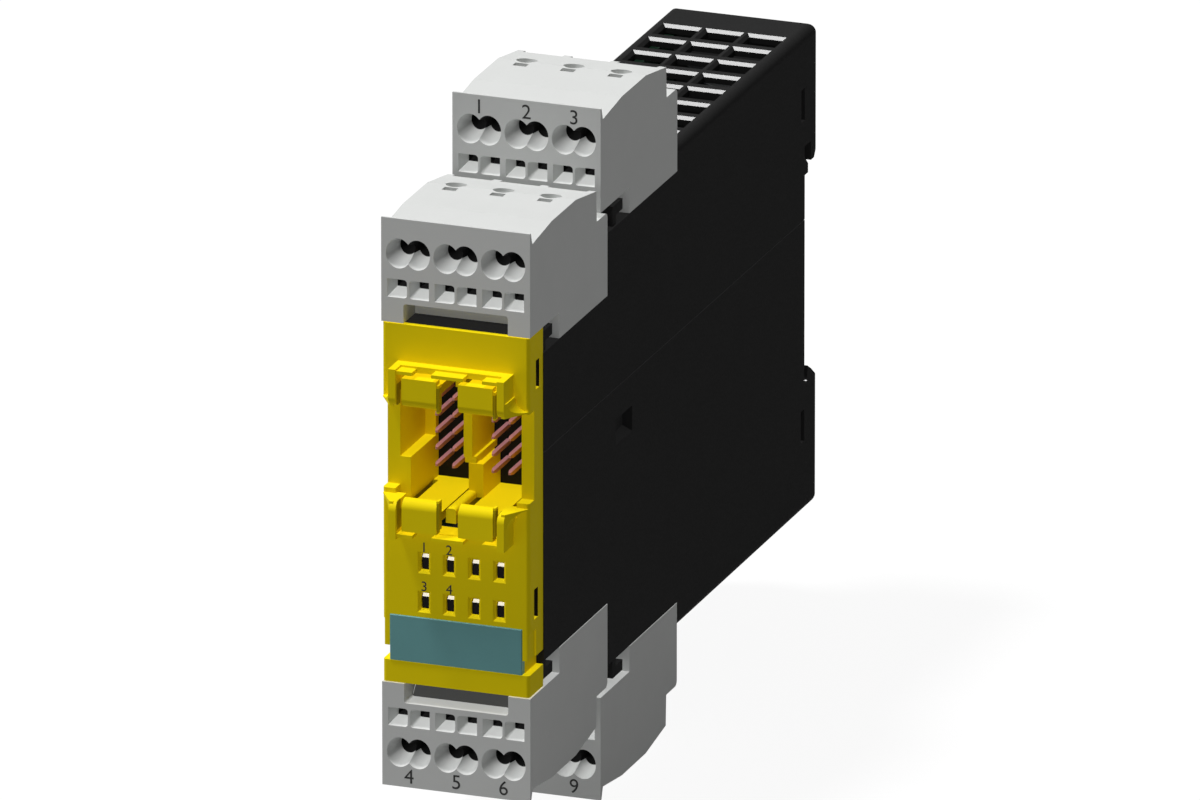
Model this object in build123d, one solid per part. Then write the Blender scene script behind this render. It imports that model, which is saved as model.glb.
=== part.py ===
from build123d import *
import os

# Safety expansion module for a 35 mm rail: a vented black housing in two halves,
# a yellow front cover with two pin sockets, and four plug-in terminal blocks.
# Millimetres. X runs across the module, Y from front to back, Z up.
# A depth is measured back from the front plane of the front terminal blocks,
# and a height from the middle of the module. The origin lies on the rail seat.

# Housing
WIDTH = 22.5
SEAT_DEPTH = 114.8
HOOK_REACH = 5.2
HALF_HEIGHT = 36.75
LEDGE_HEIGHT = 23.2
WALL = 1.3
PARTING_HEIGHT = 8.2
PARTING_GAP = 0.15
LONG_EDGE_RADIUS = 1.4
REAR_EDGE_RADIUS = 0.7
LAP_HEIGHT = 1.2
LAP_CLEARANCE = 0.1

# Steps that carry the front and rear pair of blocks
TIER_PITCH = 29.0
TIER_RISE = 9.5

# Rail recess, upper hook, lower foot and spring slider
FOOT_TOP = -14.6
FOOT_NOSE_DROP = 1.0
FOOT_SHOULDER_DROP = 2.7
FOOT_NOSE_REACH = 2.95
SLOT_RELIEF = 0.1
LOWER_SLOT_WIDTH = 1.3
LOWER_SLOT_END = -17.0
HOOK_TIP = 16.5
HOOK_SHOULDER = 18.3
UPPER_SLOT_WIDTH = 2.6
UPPER_SLOT_END = 19.4
BUMP_BOTTOM = 15.0
BUMP_HEIGHT = 1.4
SLIDER_WIDTH = 12.0
SLIDER_THICKNESS = 2.0
SLIDER_TIP = 17.7
SLIDER_STOP = 24.0
SLIDER_HEAD_WIDTH = 15.0
SLIDER_HEAD_HEIGHT = 1.8
SLIDER_TRAVEL = 3.2
SLIDER_CLEARANCE = 0.2
LEAF_THICKNESS = 0.4
LEAF_DEPTH = 3.6
LEAF_RESERVE = 1.1

# Vents in the top and bottom walls
VENT_COLUMNS = 3
VENT_ROWS = 8
VENT_COLUMN_PITCH = 6.49
VENT_ROW_PITCH = 6.4
VENT_WIDTH = 5.05
VENT_LENGTH = 4.1
VENT_CHAMFER = 0.45
VENT_LAST_EDGE = 111.8

# Shallow marks in the side walls
SIDE_RECESS_LENGTH = 6.8
SIDE_RECESS_HEIGHT = 3.85
SIDE_RECESS_DEPTH = 1.1
SIDE_RECESS_CENTRE = (38.7, 1.5)
SIDE_SLOT_LENGTH = 1.5
SIDE_SLOT_HEIGHT = 4.9
SIDE_SLOT_HEIGHTS = (25.9, -23.3)

# Keeper lugs that stand on the ledges in front of each block's leg
LUG_WIDTH = 2.8
LUG_INSET = 0.3
LUG_HEIGHT = 3.0
LUG_POST = 1.3
LUG_LENGTH = 4.1
LUG_SLOT = 1.4

# Terminal block, in depth behind its front face and drop below its front lip
BLOCK_LENGTH = 31.85
BLOCK_HEIGHT = 19.45
BLOCK_SEAT_GAP = 0.1
BLOCK_REAR_GAP = 0.15
LIP_THICKNESS = 0.35
LIP_FOOT = (1.0, 1.8)
ROOF_START = 8.9
ROOF_DROP = 0.85
ROOF_CREASE = 18.8
ROOF_END_DROP = 2.27
TAIL_LENGTH = 4.65
SHOULDER_LEAN = 0.2
TAIL_DROP = 6.9
TAIL_RADIUS = 0.8
LEG_DEPTH = 12.0
UNDERSIDE_DROP = 15.6
POLES = 3
POLE_PITCH = 7.19

# Wire entries and screwdriver holes of one pole
ENTRY_RADIUS_X = 1.92
ENTRY_RADIUS_Z = 2.235
ENTRY_PITCH = 2.85
ENTRY_DROP = 5.2
ENTRY_TAPER_DEPTH = 4.2
ENTRY_BORE_RADIUS = 1.25
KEY_WIDTH = 3.0
KEY_RIB = 0.33
KEY_TOP_DROP = 9.1
KEY_HEIGHT = 2.75
KEY_TAPER_DEPTH = 3.4
KEY_BORE_WIDTH = 1.7
KEY_BORE_HEIGHT = 0.9
KEY_CORNER = 0.5

# Notches and pockets on the outside of the block
PRY_NOTCH_WIDTH = 15.8
PRY_NOTCH_HEIGHT = 2.9
PRY_NOTCH_DEPTH = 4.8
PRY_NOTCH_CORNER = 0.4
TEST_HOLE_RADIUS = 1.55
TEST_HOLE_DEPTH = 19.7
TEST_SLOT_WIDTH = 2.07
TEST_SLOT_LENGTH = 1.3
TEST_SLOT_DEPTH = 17.15
TEST_POCKET_DROP = 1.4
WEDGE_WIDTH = 6.0
WEDGE_LENGTH = 1.1
WEDGE_DROP = 0.63

# Chamber behind the entries, with its springs and contacts
CHAMBER_WIDTH = 5.8
CHAMBER_START = 13.4
CHAMBER_REAR_WALL = 1.6
CHAMBER_DROP = 3.0
CONTACT_THICKNESS = 0.8
CONTACT_WIDTH = 5.4
CONTACT_DROP = 16.8
FORK_FINGER = 0.45
FORK_GAP = 0.1
FORK_HEIGHT = 3.6
SPRING_THICKNESS = 0.35
SPRING_WIDTH = 2.2
SPRING_FOOT = 1.5
SPRING_HEEL = 1.6
FIT = 0.1

# Plug tabs and their carriers
TAB_THICKNESS = 0.8
TAB_WIDTH = 3.0
TAB_DEPTH = 20.0
TAB_STAND = 5.8
TAB_ROOT = 3.6
CARRIER_LENGTH = 4.4
CARRIER_HEIGHT = 4.1

# Front cover
COVER_SIDE_GAP = 0.15
COVER_HALF_HEIGHT = 27.0
COVER_SIDE_DEPTH = 5.7
COVER_WALL = 1.6
COVER_EDGE = 0.5
PILLAR_SETBACK = 2.1
PILLAR_TOP = 15.6
PILLAR_BOTTOM = 2.2
SKIRT_DEPTH = 3.2
SKIRT_WALL = 0.8
SKIRT_CLEARANCE = 0.1
TONGUE_HALF_WIDTH = 8.2
TONGUE_THICKNESS = 2.7
TONGUE_POST = 1.4
TONGUE_CLEARANCE = 0.1
COVER_TOP_LIP = 0.9

# Sockets of the cover
SOCKET_HALF_WIDTH = 9.2
SOCKET_HEIGHT = 17.8
SOCKET_BACK = 13.4
DIVIDER_SIDES = (-0.4, 0.88)
DIVIDER_DEPTH = 8.1
DIVIDER_NOSE_DEPTH = 4.3
DIVIDER_NOSE = (6.6, 13.4)
SHELF_DEPTH = 4.9
SHELF_SIDE = 1.3
SHELF_THICKNESS = 1.0
STEP_DEPTH = 6.4
STEP_SIDE = 1.8
STEP_TOP = 5.0
KEYWAY_HEIGHT = 6.4
KEYWAY_WIDTH = 1.6
KEYWAY_BACK = 12.3
FLOOR_RIB_FRONT = -2.0
FLOOR_RIB_RISE = 0.9
FLOOR_RIB_ROUND = 0.5

# Latch arms, frames and their small ledges
ARM_CENTRE = 4.27
ARM_WIDTH = 5.25
ARM_THICKNESS = 1.3
ARM_SLOT = 0.85
ARM_ROOT = 11.4
LIP_FRONT = -3.6
LIP_PLATE = 1.5
LIP_OVERHANG = 2.1
LOWER_LIP_DROP = 1.5
LOWER_LIP_RISE = 1.9
LIP_RISE = 1.1
LIP_ROUND = 1.3
LIP_RIB_WIDTH = 0.3
LIP_RIB_SETBACK = 0.35
LIP_RIB_DROP = 0.3
FRAME_HALF_WIDTH = 8.74
FRAME_LEG = 1.07
FRAME_REACH = 4.0
FRAME_BAR = 0.9
FRAME_BAR_REACH = 1.7
FRAME_TOP = 21.5
FRAME_BOTTOM = -4.1
FRAME_LEG_HEIGHT = 5.6
FRAME_FLARE = 2.2
FLARE_SETBACK = 0.4
FLARE_EDGE = 0.2
FRAME_LEDGE_INNER = 5.3
FRAME_LEDGE_MIDDLE = 2.4
FRAME_LEDGE_REACH = 3.6
FRAME_LEDGE_HEIGHT = 0.5
FRAME_LEDGE_STEP = 0.3

# Indicator windows and label plate
WINDOW_FIRST = -4.84
WINDOW_PITCH = 3.803
WINDOW_COUNT = 4
WINDOW_HEIGHTS = (-8.5, -14.4)
WINDOW_WIDTH = 1.25
WINDOW_HEIGHT = 2.58
WINDOW_CHAMFER = 0.35
GUIDE_CLEARANCE = 0.1
GUIDE_FRONT = 0.75
GUIDE_SLOPE = 0.6
GUIDE_WEB = (8.0, 9.4)
LABEL_WIDTH = 20.0
LABEL_TOP = -16.8
LABEL_HEIGHT = 6.85
LABEL_THICKNESS = 1.2
LABEL_PROUD = 0.15
SIDE_TAB_TOP = -17.5
SIDE_TAB_BOTTOM = -21.5
SIDE_TAB_INSET = 0.25
STRIP_TOP = -23.7
SNAP_DEPTH = 5.0
SNAP_WINDOWS = ((2.8, 4.3, 18.6, 22.9), (2.0, 3.7, -15.8, -11.3))

# Pin headers
PIN_PITCH = 2.54
PIN_ROWS = 5
PIN_SIZE = 0.64
PIN_TIP_DEPTH = 7.0
PIN_TIP_LENGTH = 0.7
PIN_TAIL = 1.4
PIN_TOP = 14.0
HEADER_THICKNESS = 2.4
HEADER_MARGIN = 0.25

# Boards and what stands on them
BOARD_THICKNESS = 1.4
BOARD_WALL_GAP = 0.35
BOARD_EDGE_GAP = 0.7
LED_SIZE = (1.2, 0.7, 1.8)
CHIP_SIZE = 10.0
CHIP_HEIGHT = 1.4
CHIP_LEAD = 1.0
CHIP_PLACES = ((74.0, 9.0), (74.0, -9.0))
CAPACITOR_RADIUS = 4.0
CAPACITOR_HEIGHT = 10.5
CAPACITOR_PLACES = ((70.0, 20.0), (80.0, 20.0), (90.0, 20.0))
SWITCH_SIZE = 6.4
SWITCH_HEIGHT = 2.3
SWITCH_TAB = 2.2
SWITCH_PLACES = (40.0, 50.0)
SWITCH_HEIGHTS = (7.0, -7.0)
CORE_SIZE = 16.0
CORE_HEIGHT = 11.0
CORE_PLACE = (82.0, -16.0)
COIL_RADIUS = 6.2
LINK_LENGTH = 26.0
LINK_HEIGHT = 5.0
LINK_PLACE = (98.0, 0.0)

# Sizes that follow from the ones above
HALF_WIDTH = WIDTH / 2
INNER_HALF = HALF_WIDTH - WALL
REAR_DEPTH = SEAT_DEPTH + HOOK_REACH
LEAF_RISE = SLIDER_TRAVEL + LEAF_RESERVE
WALL_DEPTHS = (BLOCK_LENGTH + BLOCK_REAR_GAP, BLOCK_LENGTH + BLOCK_REAR_GAP + TIER_PITCH)
LEDGES = (LEDGE_HEIGHT, LEDGE_HEIGHT + TIER_RISE)
BLOCK_TOP = LEDGE_HEIGHT + BLOCK_SEAT_GAP + BLOCK_HEIGHT
SHOULDER_DEPTH = BLOCK_LENGTH - TAIL_LENGTH
BASE_DEPTH = SHOULDER_DEPTH + SHOULDER_LEAN
CHAMBER_END = SHOULDER_DEPTH - CHAMBER_REAR_WALL
WEDGE_START = SHOULDER_DEPTH - WEDGE_LENGTH
COVER_WIDTH = WIDTH - 2 * COVER_SIDE_GAP
POLE_PLACES = [(i - (POLES - 1) / 2) * POLE_PITCH for i in range(POLES)]
HEADER_FRONT = SOCKET_BACK + FIT
BOARD_FRONT = HEADER_FRONT + HEADER_THICKNESS
BOARD_BACK = BOARD_FRONT + BOARD_THICKNESS
BOARD_OUTER = INNER_HALF - BOARD_WALL_GAP
BOARD_INNER = BOARD_OUTER - BOARD_THICKNESS
ARM_TOPS = (SOCKET_HEIGHT, -ARM_THICKNESS)
FRAME_MOUTH = FRAME_HALF_WIDTH - FRAME_LEG

os.makedirs("parts", exist_ok=True)


def box(x0, x1, depth0, depth1, z0, z1):
    """A block between two sides, two depths and two heights."""
    middle = Pos((x0 + x1) / 2, (depth0 + depth1) / 2 - SEAT_DEPTH, (z0 + z1) / 2)
    return middle * Box(abs(x1 - x0), abs(depth1 - depth0), abs(z1 - z0))


def side_profile(points, x0, x1):
    """A solid whose outline in depth and height is the same across the width."""
    outline = Polyline([(depth - SEAT_DEPTH, z) for depth, z in points], close=True)
    return extrude(Plane.YZ.offset(x0) * make_face(outline), x1 - x0)


def front_taper(near, far, x, depth, z, length):
    """A hole that narrows from one rectangle at the front to a smaller one behind."""
    front = Plane.XZ.offset(SEAT_DEPTH - depth) * Pos(x, z) * Rectangle(*near)
    back = Plane.XZ.offset(SEAT_DEPTH - depth - length) * Pos(x, z) * Rectangle(*far)
    return loft([front, back])


def write(shape, name):
    """Save one named piece, or a group of like pieces."""
    export_step(shape, f"parts/{name}.step")


# Housing


def housing_outline():
    """The stepped side outline with the rail recess, from the front edge round."""
    front = COVER_SIDE_DEPTH
    seat = SEAT_DEPTH
    slot_back = seat + UPPER_SLOT_WIDTH
    return [
        (front, -LEDGES[0]),
        (WALL_DEPTHS[0], -LEDGES[0]),
        (WALL_DEPTHS[0], -LEDGES[1]),
        (WALL_DEPTHS[1], -LEDGES[1]),
        (WALL_DEPTHS[1], -HALF_HEIGHT),
        (REAR_DEPTH, -HALF_HEIGHT),
        (REAR_DEPTH, FOOT_TOP - FOOT_SHOULDER_DROP),
        (seat + FOOT_NOSE_REACH, FOOT_TOP - FOOT_NOSE_DROP),
        (seat + LOWER_SLOT_WIDTH, FOOT_TOP),
        (seat, FOOT_TOP),
        (seat, BUMP_BOTTOM),
        (seat + BUMP_HEIGHT, BUMP_BOTTOM),
        (seat + BUMP_HEIGHT, BUMP_BOTTOM + BUMP_HEIGHT),
        (seat - SLOT_RELIEF, BUMP_BOTTOM + 2 * BUMP_HEIGHT),
        (seat - SLOT_RELIEF, UPPER_SLOT_END),
        (slot_back, UPPER_SLOT_END),
        (slot_back, HOOK_TIP),
        ((slot_back + REAR_DEPTH) / 2, HOOK_TIP),
        (REAR_DEPTH, HOOK_SHOULDER),
        (REAR_DEPTH, HALF_HEIGHT),
        (WALL_DEPTHS[1], HALF_HEIGHT),
        (WALL_DEPTHS[1], LEDGES[1]),
        (WALL_DEPTHS[0], LEDGES[1]),
        (WALL_DEPTHS[0], LEDGES[0]),
        (front, LEDGES[0]),
    ]


def rounded_shell():
    """The solid housing with its long and rear edges rounded."""
    body = side_profile(housing_outline(), -HALF_WIDTH, HALF_WIDTH)
    outer = [e for e in body.edges().filter_by(Axis.Y) if abs(abs(e.center().Z) - HALF_HEIGHT) < 0.01]
    rear = [e for e in body.edges().filter_by(Axis.X) if abs(abs(e.center().Z) - HALF_HEIGHT) < 0.01]
    rear = [e for e in rear if e.center().Y > 0]
    body = fillet(outer + rear, LONG_EDGE_RADIUS)
    upright = [e for e in body.edges().filter_by(Axis.Z) if abs(e.center().Y - HOOK_REACH) < 0.01]
    return fillet(upright, REAR_EDGE_RADIUS)


def lower_rail_slot():
    """Round-ended slot between the seat and the foot for the rail's lower edge."""
    radius = (LOWER_SLOT_WIDTH + SLOT_RELIEF) / 2
    middle = LOWER_SLOT_WIDTH - radius
    start = SEAT_DEPTH - SLOT_RELIEF
    bottom = LOWER_SLOT_END + radius
    straight = box(-WIDTH, WIDTH, start, SEAT_DEPTH + LOWER_SLOT_WIDTH, bottom, FOOT_TOP)
    return straight + Pos(0, middle, bottom) * Rot(0, 90, 0) * Cylinder(radius, 2 * WIDTH)


def inner_space():
    """The hollow of the housing: three chambers and the pockets of hook and foot."""
    x = INNER_HALF
    front = box(-x, x, 0, WALL_DEPTHS[0] + WALL, -LEDGES[0] + WALL, LEDGES[0] - WALL)
    middle = box(-x, x, WALL_DEPTHS[0] + WALL, WALL_DEPTHS[1] + WALL, -LEDGES[1] + WALL, LEDGES[1] - WALL)
    top = HALF_HEIGHT - WALL
    rear = box(-x, x, WALL_DEPTHS[1] + WALL, SEAT_DEPTH - WALL, -top, top)
    back = REAR_DEPTH - WALL
    leaf_top = SLIDER_STOP + SLIDER_HEAD_HEIGHT + LEAF_RISE + LEAF_THICKNESS + 2 * FIT
    hook = box(-x, x, SEAT_DEPTH - WALL - 1, back, SLIDER_STOP, leaf_top)
    crown = box(-x, x, SEAT_DEPTH - WALL - 1, back, leaf_top + WALL, top)
    foot = box(-x, x, SEAT_DEPTH - WALL - 1, back, -top, LOWER_SLOT_END - 2 * WALL)
    return front + middle + rear + hook + crown + foot


def slider_channel():
    """Guide for the spring slider, from the rail slot up into the hook's pocket."""
    half = SLIDER_WIDTH / 2 + SLIDER_CLEARANCE
    back = SEAT_DEPTH + UPPER_SLOT_WIDTH
    return box(-half, half, SEAT_DEPTH - SLOT_RELIEF, back, UPPER_SLOT_END - 1, SLIDER_STOP + 1)


def vent_cutter(x, depth):
    """One vent of the top wall, with a chamfer all round its outer edge."""
    middle_depth = depth - VENT_LENGTH / 2
    half = VENT_WIDTH / 2
    hole = box(x - half, x + half, depth - VENT_LENGTH, depth, HALF_HEIGHT - 2 * WALL, HALF_HEIGHT + 1)
    place = Pos(x, middle_depth - SEAT_DEPTH, HALF_HEIGHT - VENT_CHAMFER)
    small = place * Rectangle(VENT_WIDTH, VENT_LENGTH)
    grow = 2 * VENT_CHAMFER
    large = Pos(0, 0, VENT_CHAMFER) * place * Rectangle(VENT_WIDTH + grow, VENT_LENGTH + grow)
    return hole + loft([small, large])


def vents():
    """All vents of the top wall in rows and columns."""
    cutters = []
    for column in range(VENT_COLUMNS):
        x = (column - (VENT_COLUMNS - 1) / 2) * VENT_COLUMN_PITCH
        for row in range(VENT_ROWS):
            cutters.append(vent_cutter(x, VENT_LAST_EDGE - VENT_CHAMFER - row * VENT_ROW_PITCH))
    return cutters


def side_recess():
    """Bevelled rectangular recess of the right side wall."""
    depth, z = SIDE_RECESS_CENTRE
    outer = Plane.YZ.offset(HALF_WIDTH) * Pos(depth - SEAT_DEPTH, z)
    inner = Plane.YZ.offset(HALF_WIDTH - SIDE_RECESS_DEPTH) * Pos(depth - SEAT_DEPTH, z)
    bevel = SIDE_RECESS_DEPTH
    floor = Rectangle(SIDE_RECESS_LENGTH - 2 * bevel, SIDE_RECESS_HEIGHT - 2 * bevel)
    return loft([outer * Rectangle(SIDE_RECESS_LENGTH, SIDE_RECESS_HEIGHT), inner * floor])


def side_slots():
    """Narrow upright slots of the right side wall beside the hook and the foot."""
    depths = (SEAT_DEPTH - SIDE_SLOT_LENGTH, SEAT_DEPTH)
    half = SIDE_SLOT_HEIGHT / 2
    inset = HALF_WIDTH - WALL / 2
    return [box(inset, HALF_WIDTH + 1, *depths, z - half, z + half) for z in SIDE_SLOT_HEIGHTS]


def keeper_lug(tier, x_outer, x_inner):
    """Hooked lug on an upper ledge, ahead of the block's leg."""
    depth = COVER_SIDE_DEPTH + FIT + tier * TIER_PITCH
    foot = LEDGES[tier] - FIT
    top = LEDGES[tier] + LUG_HEIGHT
    post = box(x_inner, x_outer, depth, depth + LUG_POST, foot, top)
    finger = box(x_inner, x_outer, depth, depth + LUG_LENGTH, LEDGES[tier] + LUG_SLOT, top)
    return post + finger


def keeper_lugs():
    """Two lugs on each of the four ledges."""
    outer = HALF_WIDTH - LUG_INSET
    inner = outer - LUG_WIDTH
    lugs = []
    for tier in range(2):
        for x_outer, x_inner in ((outer, inner), (-inner, -outer)):
            lug = keeper_lug(tier, x_outer, x_inner)
            lugs += [lug, mirror(lug, about=Plane.XY)]
    return lugs


def tab_slots():
    """Slots through the four ledges for the plug tabs."""
    slots = []
    half_x = TAB_THICKNESS / 2 + 2 * FIT
    half_d = TAB_WIDTH / 2 + 2 * FIT
    for tier in range(2):
        middle = TAB_DEPTH + tier * TIER_PITCH
        for x in POLE_PLACES:
            for side in (1, -1):
                low = side * LEDGES[tier] - 2 * WALL
                slots.append(box(x - half_x, x + half_x, middle - half_d, middle + half_d, low, low + 4 * WALL))
    return slots


def whole_housing():
    """Both halves in one piece, before they are parted."""
    body = rounded_shell() - inner_space() - lower_rail_slot() - slider_channel()
    body += keeper_lugs()
    body -= tab_slots()
    upper_vents = vents()
    body -= upper_vents
    body -= [mirror(vent, about=Plane.XY) for vent in upper_vents]
    marks = [side_recess()] + side_slots()
    body -= marks
    body -= [mirror(mark, about=Plane.YZ) for mark in marks]
    return body


def lap_strip(side, grow):
    """Tongue inside one side wall along the parting line, or the groove for it."""
    inner = INNER_HALF - grow
    outer = INNER_HALF + WALL / 2 + grow
    front = COVER_SIDE_DEPTH + SKIRT_DEPTH + 1 - grow
    back = SEAT_DEPTH - 2 * WALL + grow
    x0, x1 = sorted((side * inner, side * outer))
    return box(x0, x1, front, back, PARTING_HEIGHT - LAP_HEIGHT - grow, PARTING_HEIGHT + 1)


def cover_tongue(grow):
    """Bar over the upper ledge that reaches into the cover's top, or the pocket for it."""
    half = TONGUE_HALF_WIDTH + grow
    post_front = COVER_SIDE_DEPTH + TONGUE_CLEARANCE
    post_back = post_front + TONGUE_POST
    top = COVER_HALF_HEIGHT - TONGUE_CLEARANCE
    front = COVER_TOP_LIP + TONGUE_CLEARANCE
    bar = box(-half, half, front - grow, post_back, top - TONGUE_THICKNESS - grow, top + 2 * grow)
    return bar + box(-half, half, post_front, post_back, LEDGE_HEIGHT - WALL / 2, top)


def housing_halves():
    """The lower and the upper half, which meet in a lap joint."""
    body = whole_housing()
    depths = (0, REAR_DEPTH + 10)
    below = box(-WIDTH, WIDTH, *depths, -2 * HALF_HEIGHT, PARTING_HEIGHT - PARTING_GAP / 2)
    above = box(-WIDTH, WIDTH, *depths, PARTING_HEIGHT + PARTING_GAP / 2, 2 * HALF_HEIGHT)
    lower = body & below
    upper = body & above
    for side in (1, -1):
        lower -= lap_strip(side, LAP_CLEARANCE)
        upper += lap_strip(side, 0)
    tongue = cover_tongue(0)
    return lower + mirror(tongue, about=Plane.XY), upper + tongue


# Terminal blocks, modelled in the place of the upper front one


def height_of(drop):
    """Height of a point of the upper front block from its drop below the front lip."""
    return BLOCK_TOP - drop


def block_body():
    """The upper moulding's side outline right across the width."""
    outline = [
        (0, 0),
        (LIP_THICKNESS, 0),
        LIP_FOOT,
        (ROOF_START, ROOF_DROP),
        (ROOF_CREASE, ROOF_DROP),
        (SHOULDER_DEPTH, ROOF_END_DROP),
        (BASE_DEPTH, TAIL_DROP),
        (BASE_DEPTH, UNDERSIDE_DROP),
        (0, UNDERSIDE_DROP),
    ]
    return side_profile([(depth, height_of(drop)) for depth, drop in outline], -HALF_WIDTH, HALF_WIDTH)


def base_body():
    """The base moulding's outline, with a round bead along its tail."""
    outline = [
        (BASE_DEPTH, TAIL_DROP),
        (BLOCK_LENGTH, TAIL_DROP),
        (BLOCK_LENGTH, BLOCK_HEIGHT),
        (LEG_DEPTH, BLOCK_HEIGHT),
        (LEG_DEPTH, UNDERSIDE_DROP),
        (BASE_DEPTH, UNDERSIDE_DROP),
    ]
    body = side_profile([(depth, height_of(drop)) for depth, drop in outline], -HALF_WIDTH, HALF_WIDTH)
    tail = body.edges().filter_by(Axis.X).sort_by_distance((0, BLOCK_LENGTH - SEAT_DEPTH, height_of(TAIL_DROP)))[0]
    return fillet(tail, TAIL_RADIUS)


def wire_entry(x):
    """One oval funnel with the bore behind it."""
    z = height_of(ENTRY_DROP)
    front = Plane.XZ.offset(SEAT_DEPTH) * Pos(x, z)
    neck = Plane.XZ.offset(SEAT_DEPTH - ENTRY_TAPER_DEPTH) * Pos(x, z)
    bore_z = ENTRY_BORE_RADIUS * ENTRY_RADIUS_Z / ENTRY_RADIUS_X
    throat = neck * Ellipse(ENTRY_BORE_RADIUS, bore_z)
    funnel = loft([front * Ellipse(ENTRY_RADIUS_X, ENTRY_RADIUS_Z), throat], ruled=True)
    bore = extrude(throat, ENTRY_TAPER_DEPTH - CHAMBER_START - 0.1)
    return funnel + bore


def key_sketch(width, height, corner, side):
    """Rectangle whose two corners on one side are rounded."""
    sketch = Rectangle(width, height)
    rounded = [v for v in sketch.vertices() if v.X * side > 0]
    return fillet(rounded, corner)


def key_hole(pole, side):
    """Tapered screwdriver hole on one side of a pole, with its narrow slot behind."""
    x = pole + side * (KEY_WIDTH + KEY_RIB) / 2
    z = height_of(KEY_TOP_DROP + KEY_HEIGHT / 2)
    front = Plane.XZ.offset(SEAT_DEPTH) * Pos(x, z)
    neck = Plane.XZ.offset(SEAT_DEPTH - KEY_TAPER_DEPTH) * Pos(x, z)
    shrink = KEY_BORE_HEIGHT / KEY_HEIGHT
    throat = neck * key_sketch(KEY_BORE_WIDTH, KEY_BORE_HEIGHT, KEY_CORNER * shrink, -side)
    funnel = loft([front * key_sketch(KEY_WIDTH, KEY_HEIGHT, KEY_CORNER, -side), throat], ruled=True)
    bore = extrude(throat, KEY_TAPER_DEPTH - CHAMBER_START - 0.1)
    return funnel + bore


def pry_notch():
    """Notch under the front face where a screwdriver levers the block out."""
    half = PRY_NOTCH_WIDTH / 2
    top = UNDERSIDE_DROP - PRY_NOTCH_HEIGHT
    outline = [
        (-1, top),
        (PRY_NOTCH_DEPTH - PRY_NOTCH_HEIGHT / 2, top),
        (PRY_NOTCH_DEPTH, top + PRY_NOTCH_HEIGHT / 2),
        (PRY_NOTCH_DEPTH, UNDERSIDE_DROP + 1),
        (-1, UNDERSIDE_DROP + 1),
    ]
    notch = side_profile([(depth, height_of(drop)) for depth, drop in outline], -half, half)
    corners = [e for e in notch.edges().filter_by(Axis.Y) if abs(e.center().Z - height_of(top)) < 0.01]
    return fillet(corners, PRY_NOTCH_CORNER)


def roof_pockets(x):
    """Test hole, slot and wedge pocket in the roof over one pole."""
    floor = height_of(ROOF_DROP + TEST_POCKET_DROP)
    top = height_of(-1)
    middle = Pos(x, TEST_HOLE_DEPTH - SEAT_DEPTH, (floor + top) / 2)
    hole = middle * Cylinder(TEST_HOLE_RADIUS, top - floor)
    half_x = TEST_SLOT_WIDTH / 2
    half_d = TEST_SLOT_LENGTH / 2
    slot = box(x - half_x, x + half_x, TEST_SLOT_DEPTH - half_d, TEST_SLOT_DEPTH + half_d, floor, top)
    slope = (ROOF_END_DROP - ROOF_DROP) / (SHOULDER_DEPTH - ROOF_CREASE)
    start_drop = ROOF_DROP + slope * (WEDGE_START - ROOF_CREASE)
    end_drop = start_drop + slope * (SHOULDER_DEPTH - WEDGE_START) + WEDGE_DROP
    outline = [(WEDGE_START, start_drop), (SHOULDER_DEPTH + 1, end_drop), (SHOULDER_DEPTH + 1, 0), (WEDGE_START, 0)]
    points = [(depth, height_of(drop)) for depth, drop in outline]
    wedge = side_profile(points, x - WEDGE_WIDTH / 2, x + WEDGE_WIDTH / 2)
    return [hole, slot, wedge]


def pole_chamber(x):
    """Space for the springs and the contact of one pole, open under the leg."""
    half = CHAMBER_WIDTH / 2
    top = height_of(CHAMBER_DROP)
    return box(x - half, x + half, CHAMBER_START, CHAMBER_END, height_of(BLOCK_HEIGHT + 1), top)


def terminal_block():
    """Upper moulding of one grey block with the openings of its three poles."""
    body = block_body() - pry_notch()
    for x in POLE_PLACES:
        body -= pole_chamber(x)
        body -= roof_pockets(x)
        for side in (1, -1):
            body -= wire_entry(x + side * ENTRY_PITCH / 2)
            body -= key_hole(x, side)
    return body


def terminal_base():
    """Base moulding that closes a block from below and carries its tail."""
    return base_body() - [pole_chamber(x) for x in POLE_PLACES]


def contact(x):
    """Current bar over the wires, its back strip, and the fork that grips the plug tab."""
    half = CONTACT_WIDTH / 2
    back = CHAMBER_END - FIT
    top = height_of(CHAMBER_DROP + FIT)
    bottom = height_of(CONTACT_DROP)
    bar = box(x - half, x + half, CHAMBER_START + FIT, back, top - CONTACT_THICKNESS, top)
    strip_back = box(x - half, x + half, back - CONTACT_THICKNESS, back, bottom, top)
    inner = TAB_THICKNESS / 2 + FORK_GAP
    body = bar + strip_back
    for x0 in (x + inner, x - inner - FORK_FINGER):
        body += box(x0, x0 + FORK_FINGER, TAB_DEPTH - TAB_WIDTH / 3, back, bottom, bottom + FORK_HEIGHT)
    return body


def clamp_spring(x):
    """Bent leaf that presses a wire up against the current bar."""
    seat = height_of(CONTACT_DROP) + FORK_HEIGHT + FIT
    bar = height_of(CHAMBER_DROP + CONTACT_THICKNESS + 2 * FIT)
    front = CHAMBER_START + 2 * FIT
    back = CHAMBER_END - CONTACT_THICKNESS - 2 * FIT
    points = [
        (back, seat),
        (front + SPRING_FOOT, seat),
        (front, seat + SPRING_HEEL),
        ((front + back) / 2, bar),
        ((front + back) / 2 + SPRING_THICKNESS, bar - SPRING_THICKNESS),
        (front + 2 * SPRING_THICKNESS, seat + SPRING_HEEL + FIT),
        (front + SPRING_FOOT + SPRING_THICKNESS / 2, seat + SPRING_THICKNESS),
        (back, seat + SPRING_THICKNESS),
    ]
    return side_profile(points, x - SPRING_WIDTH / 2, x + SPRING_WIDTH / 2)


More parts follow.
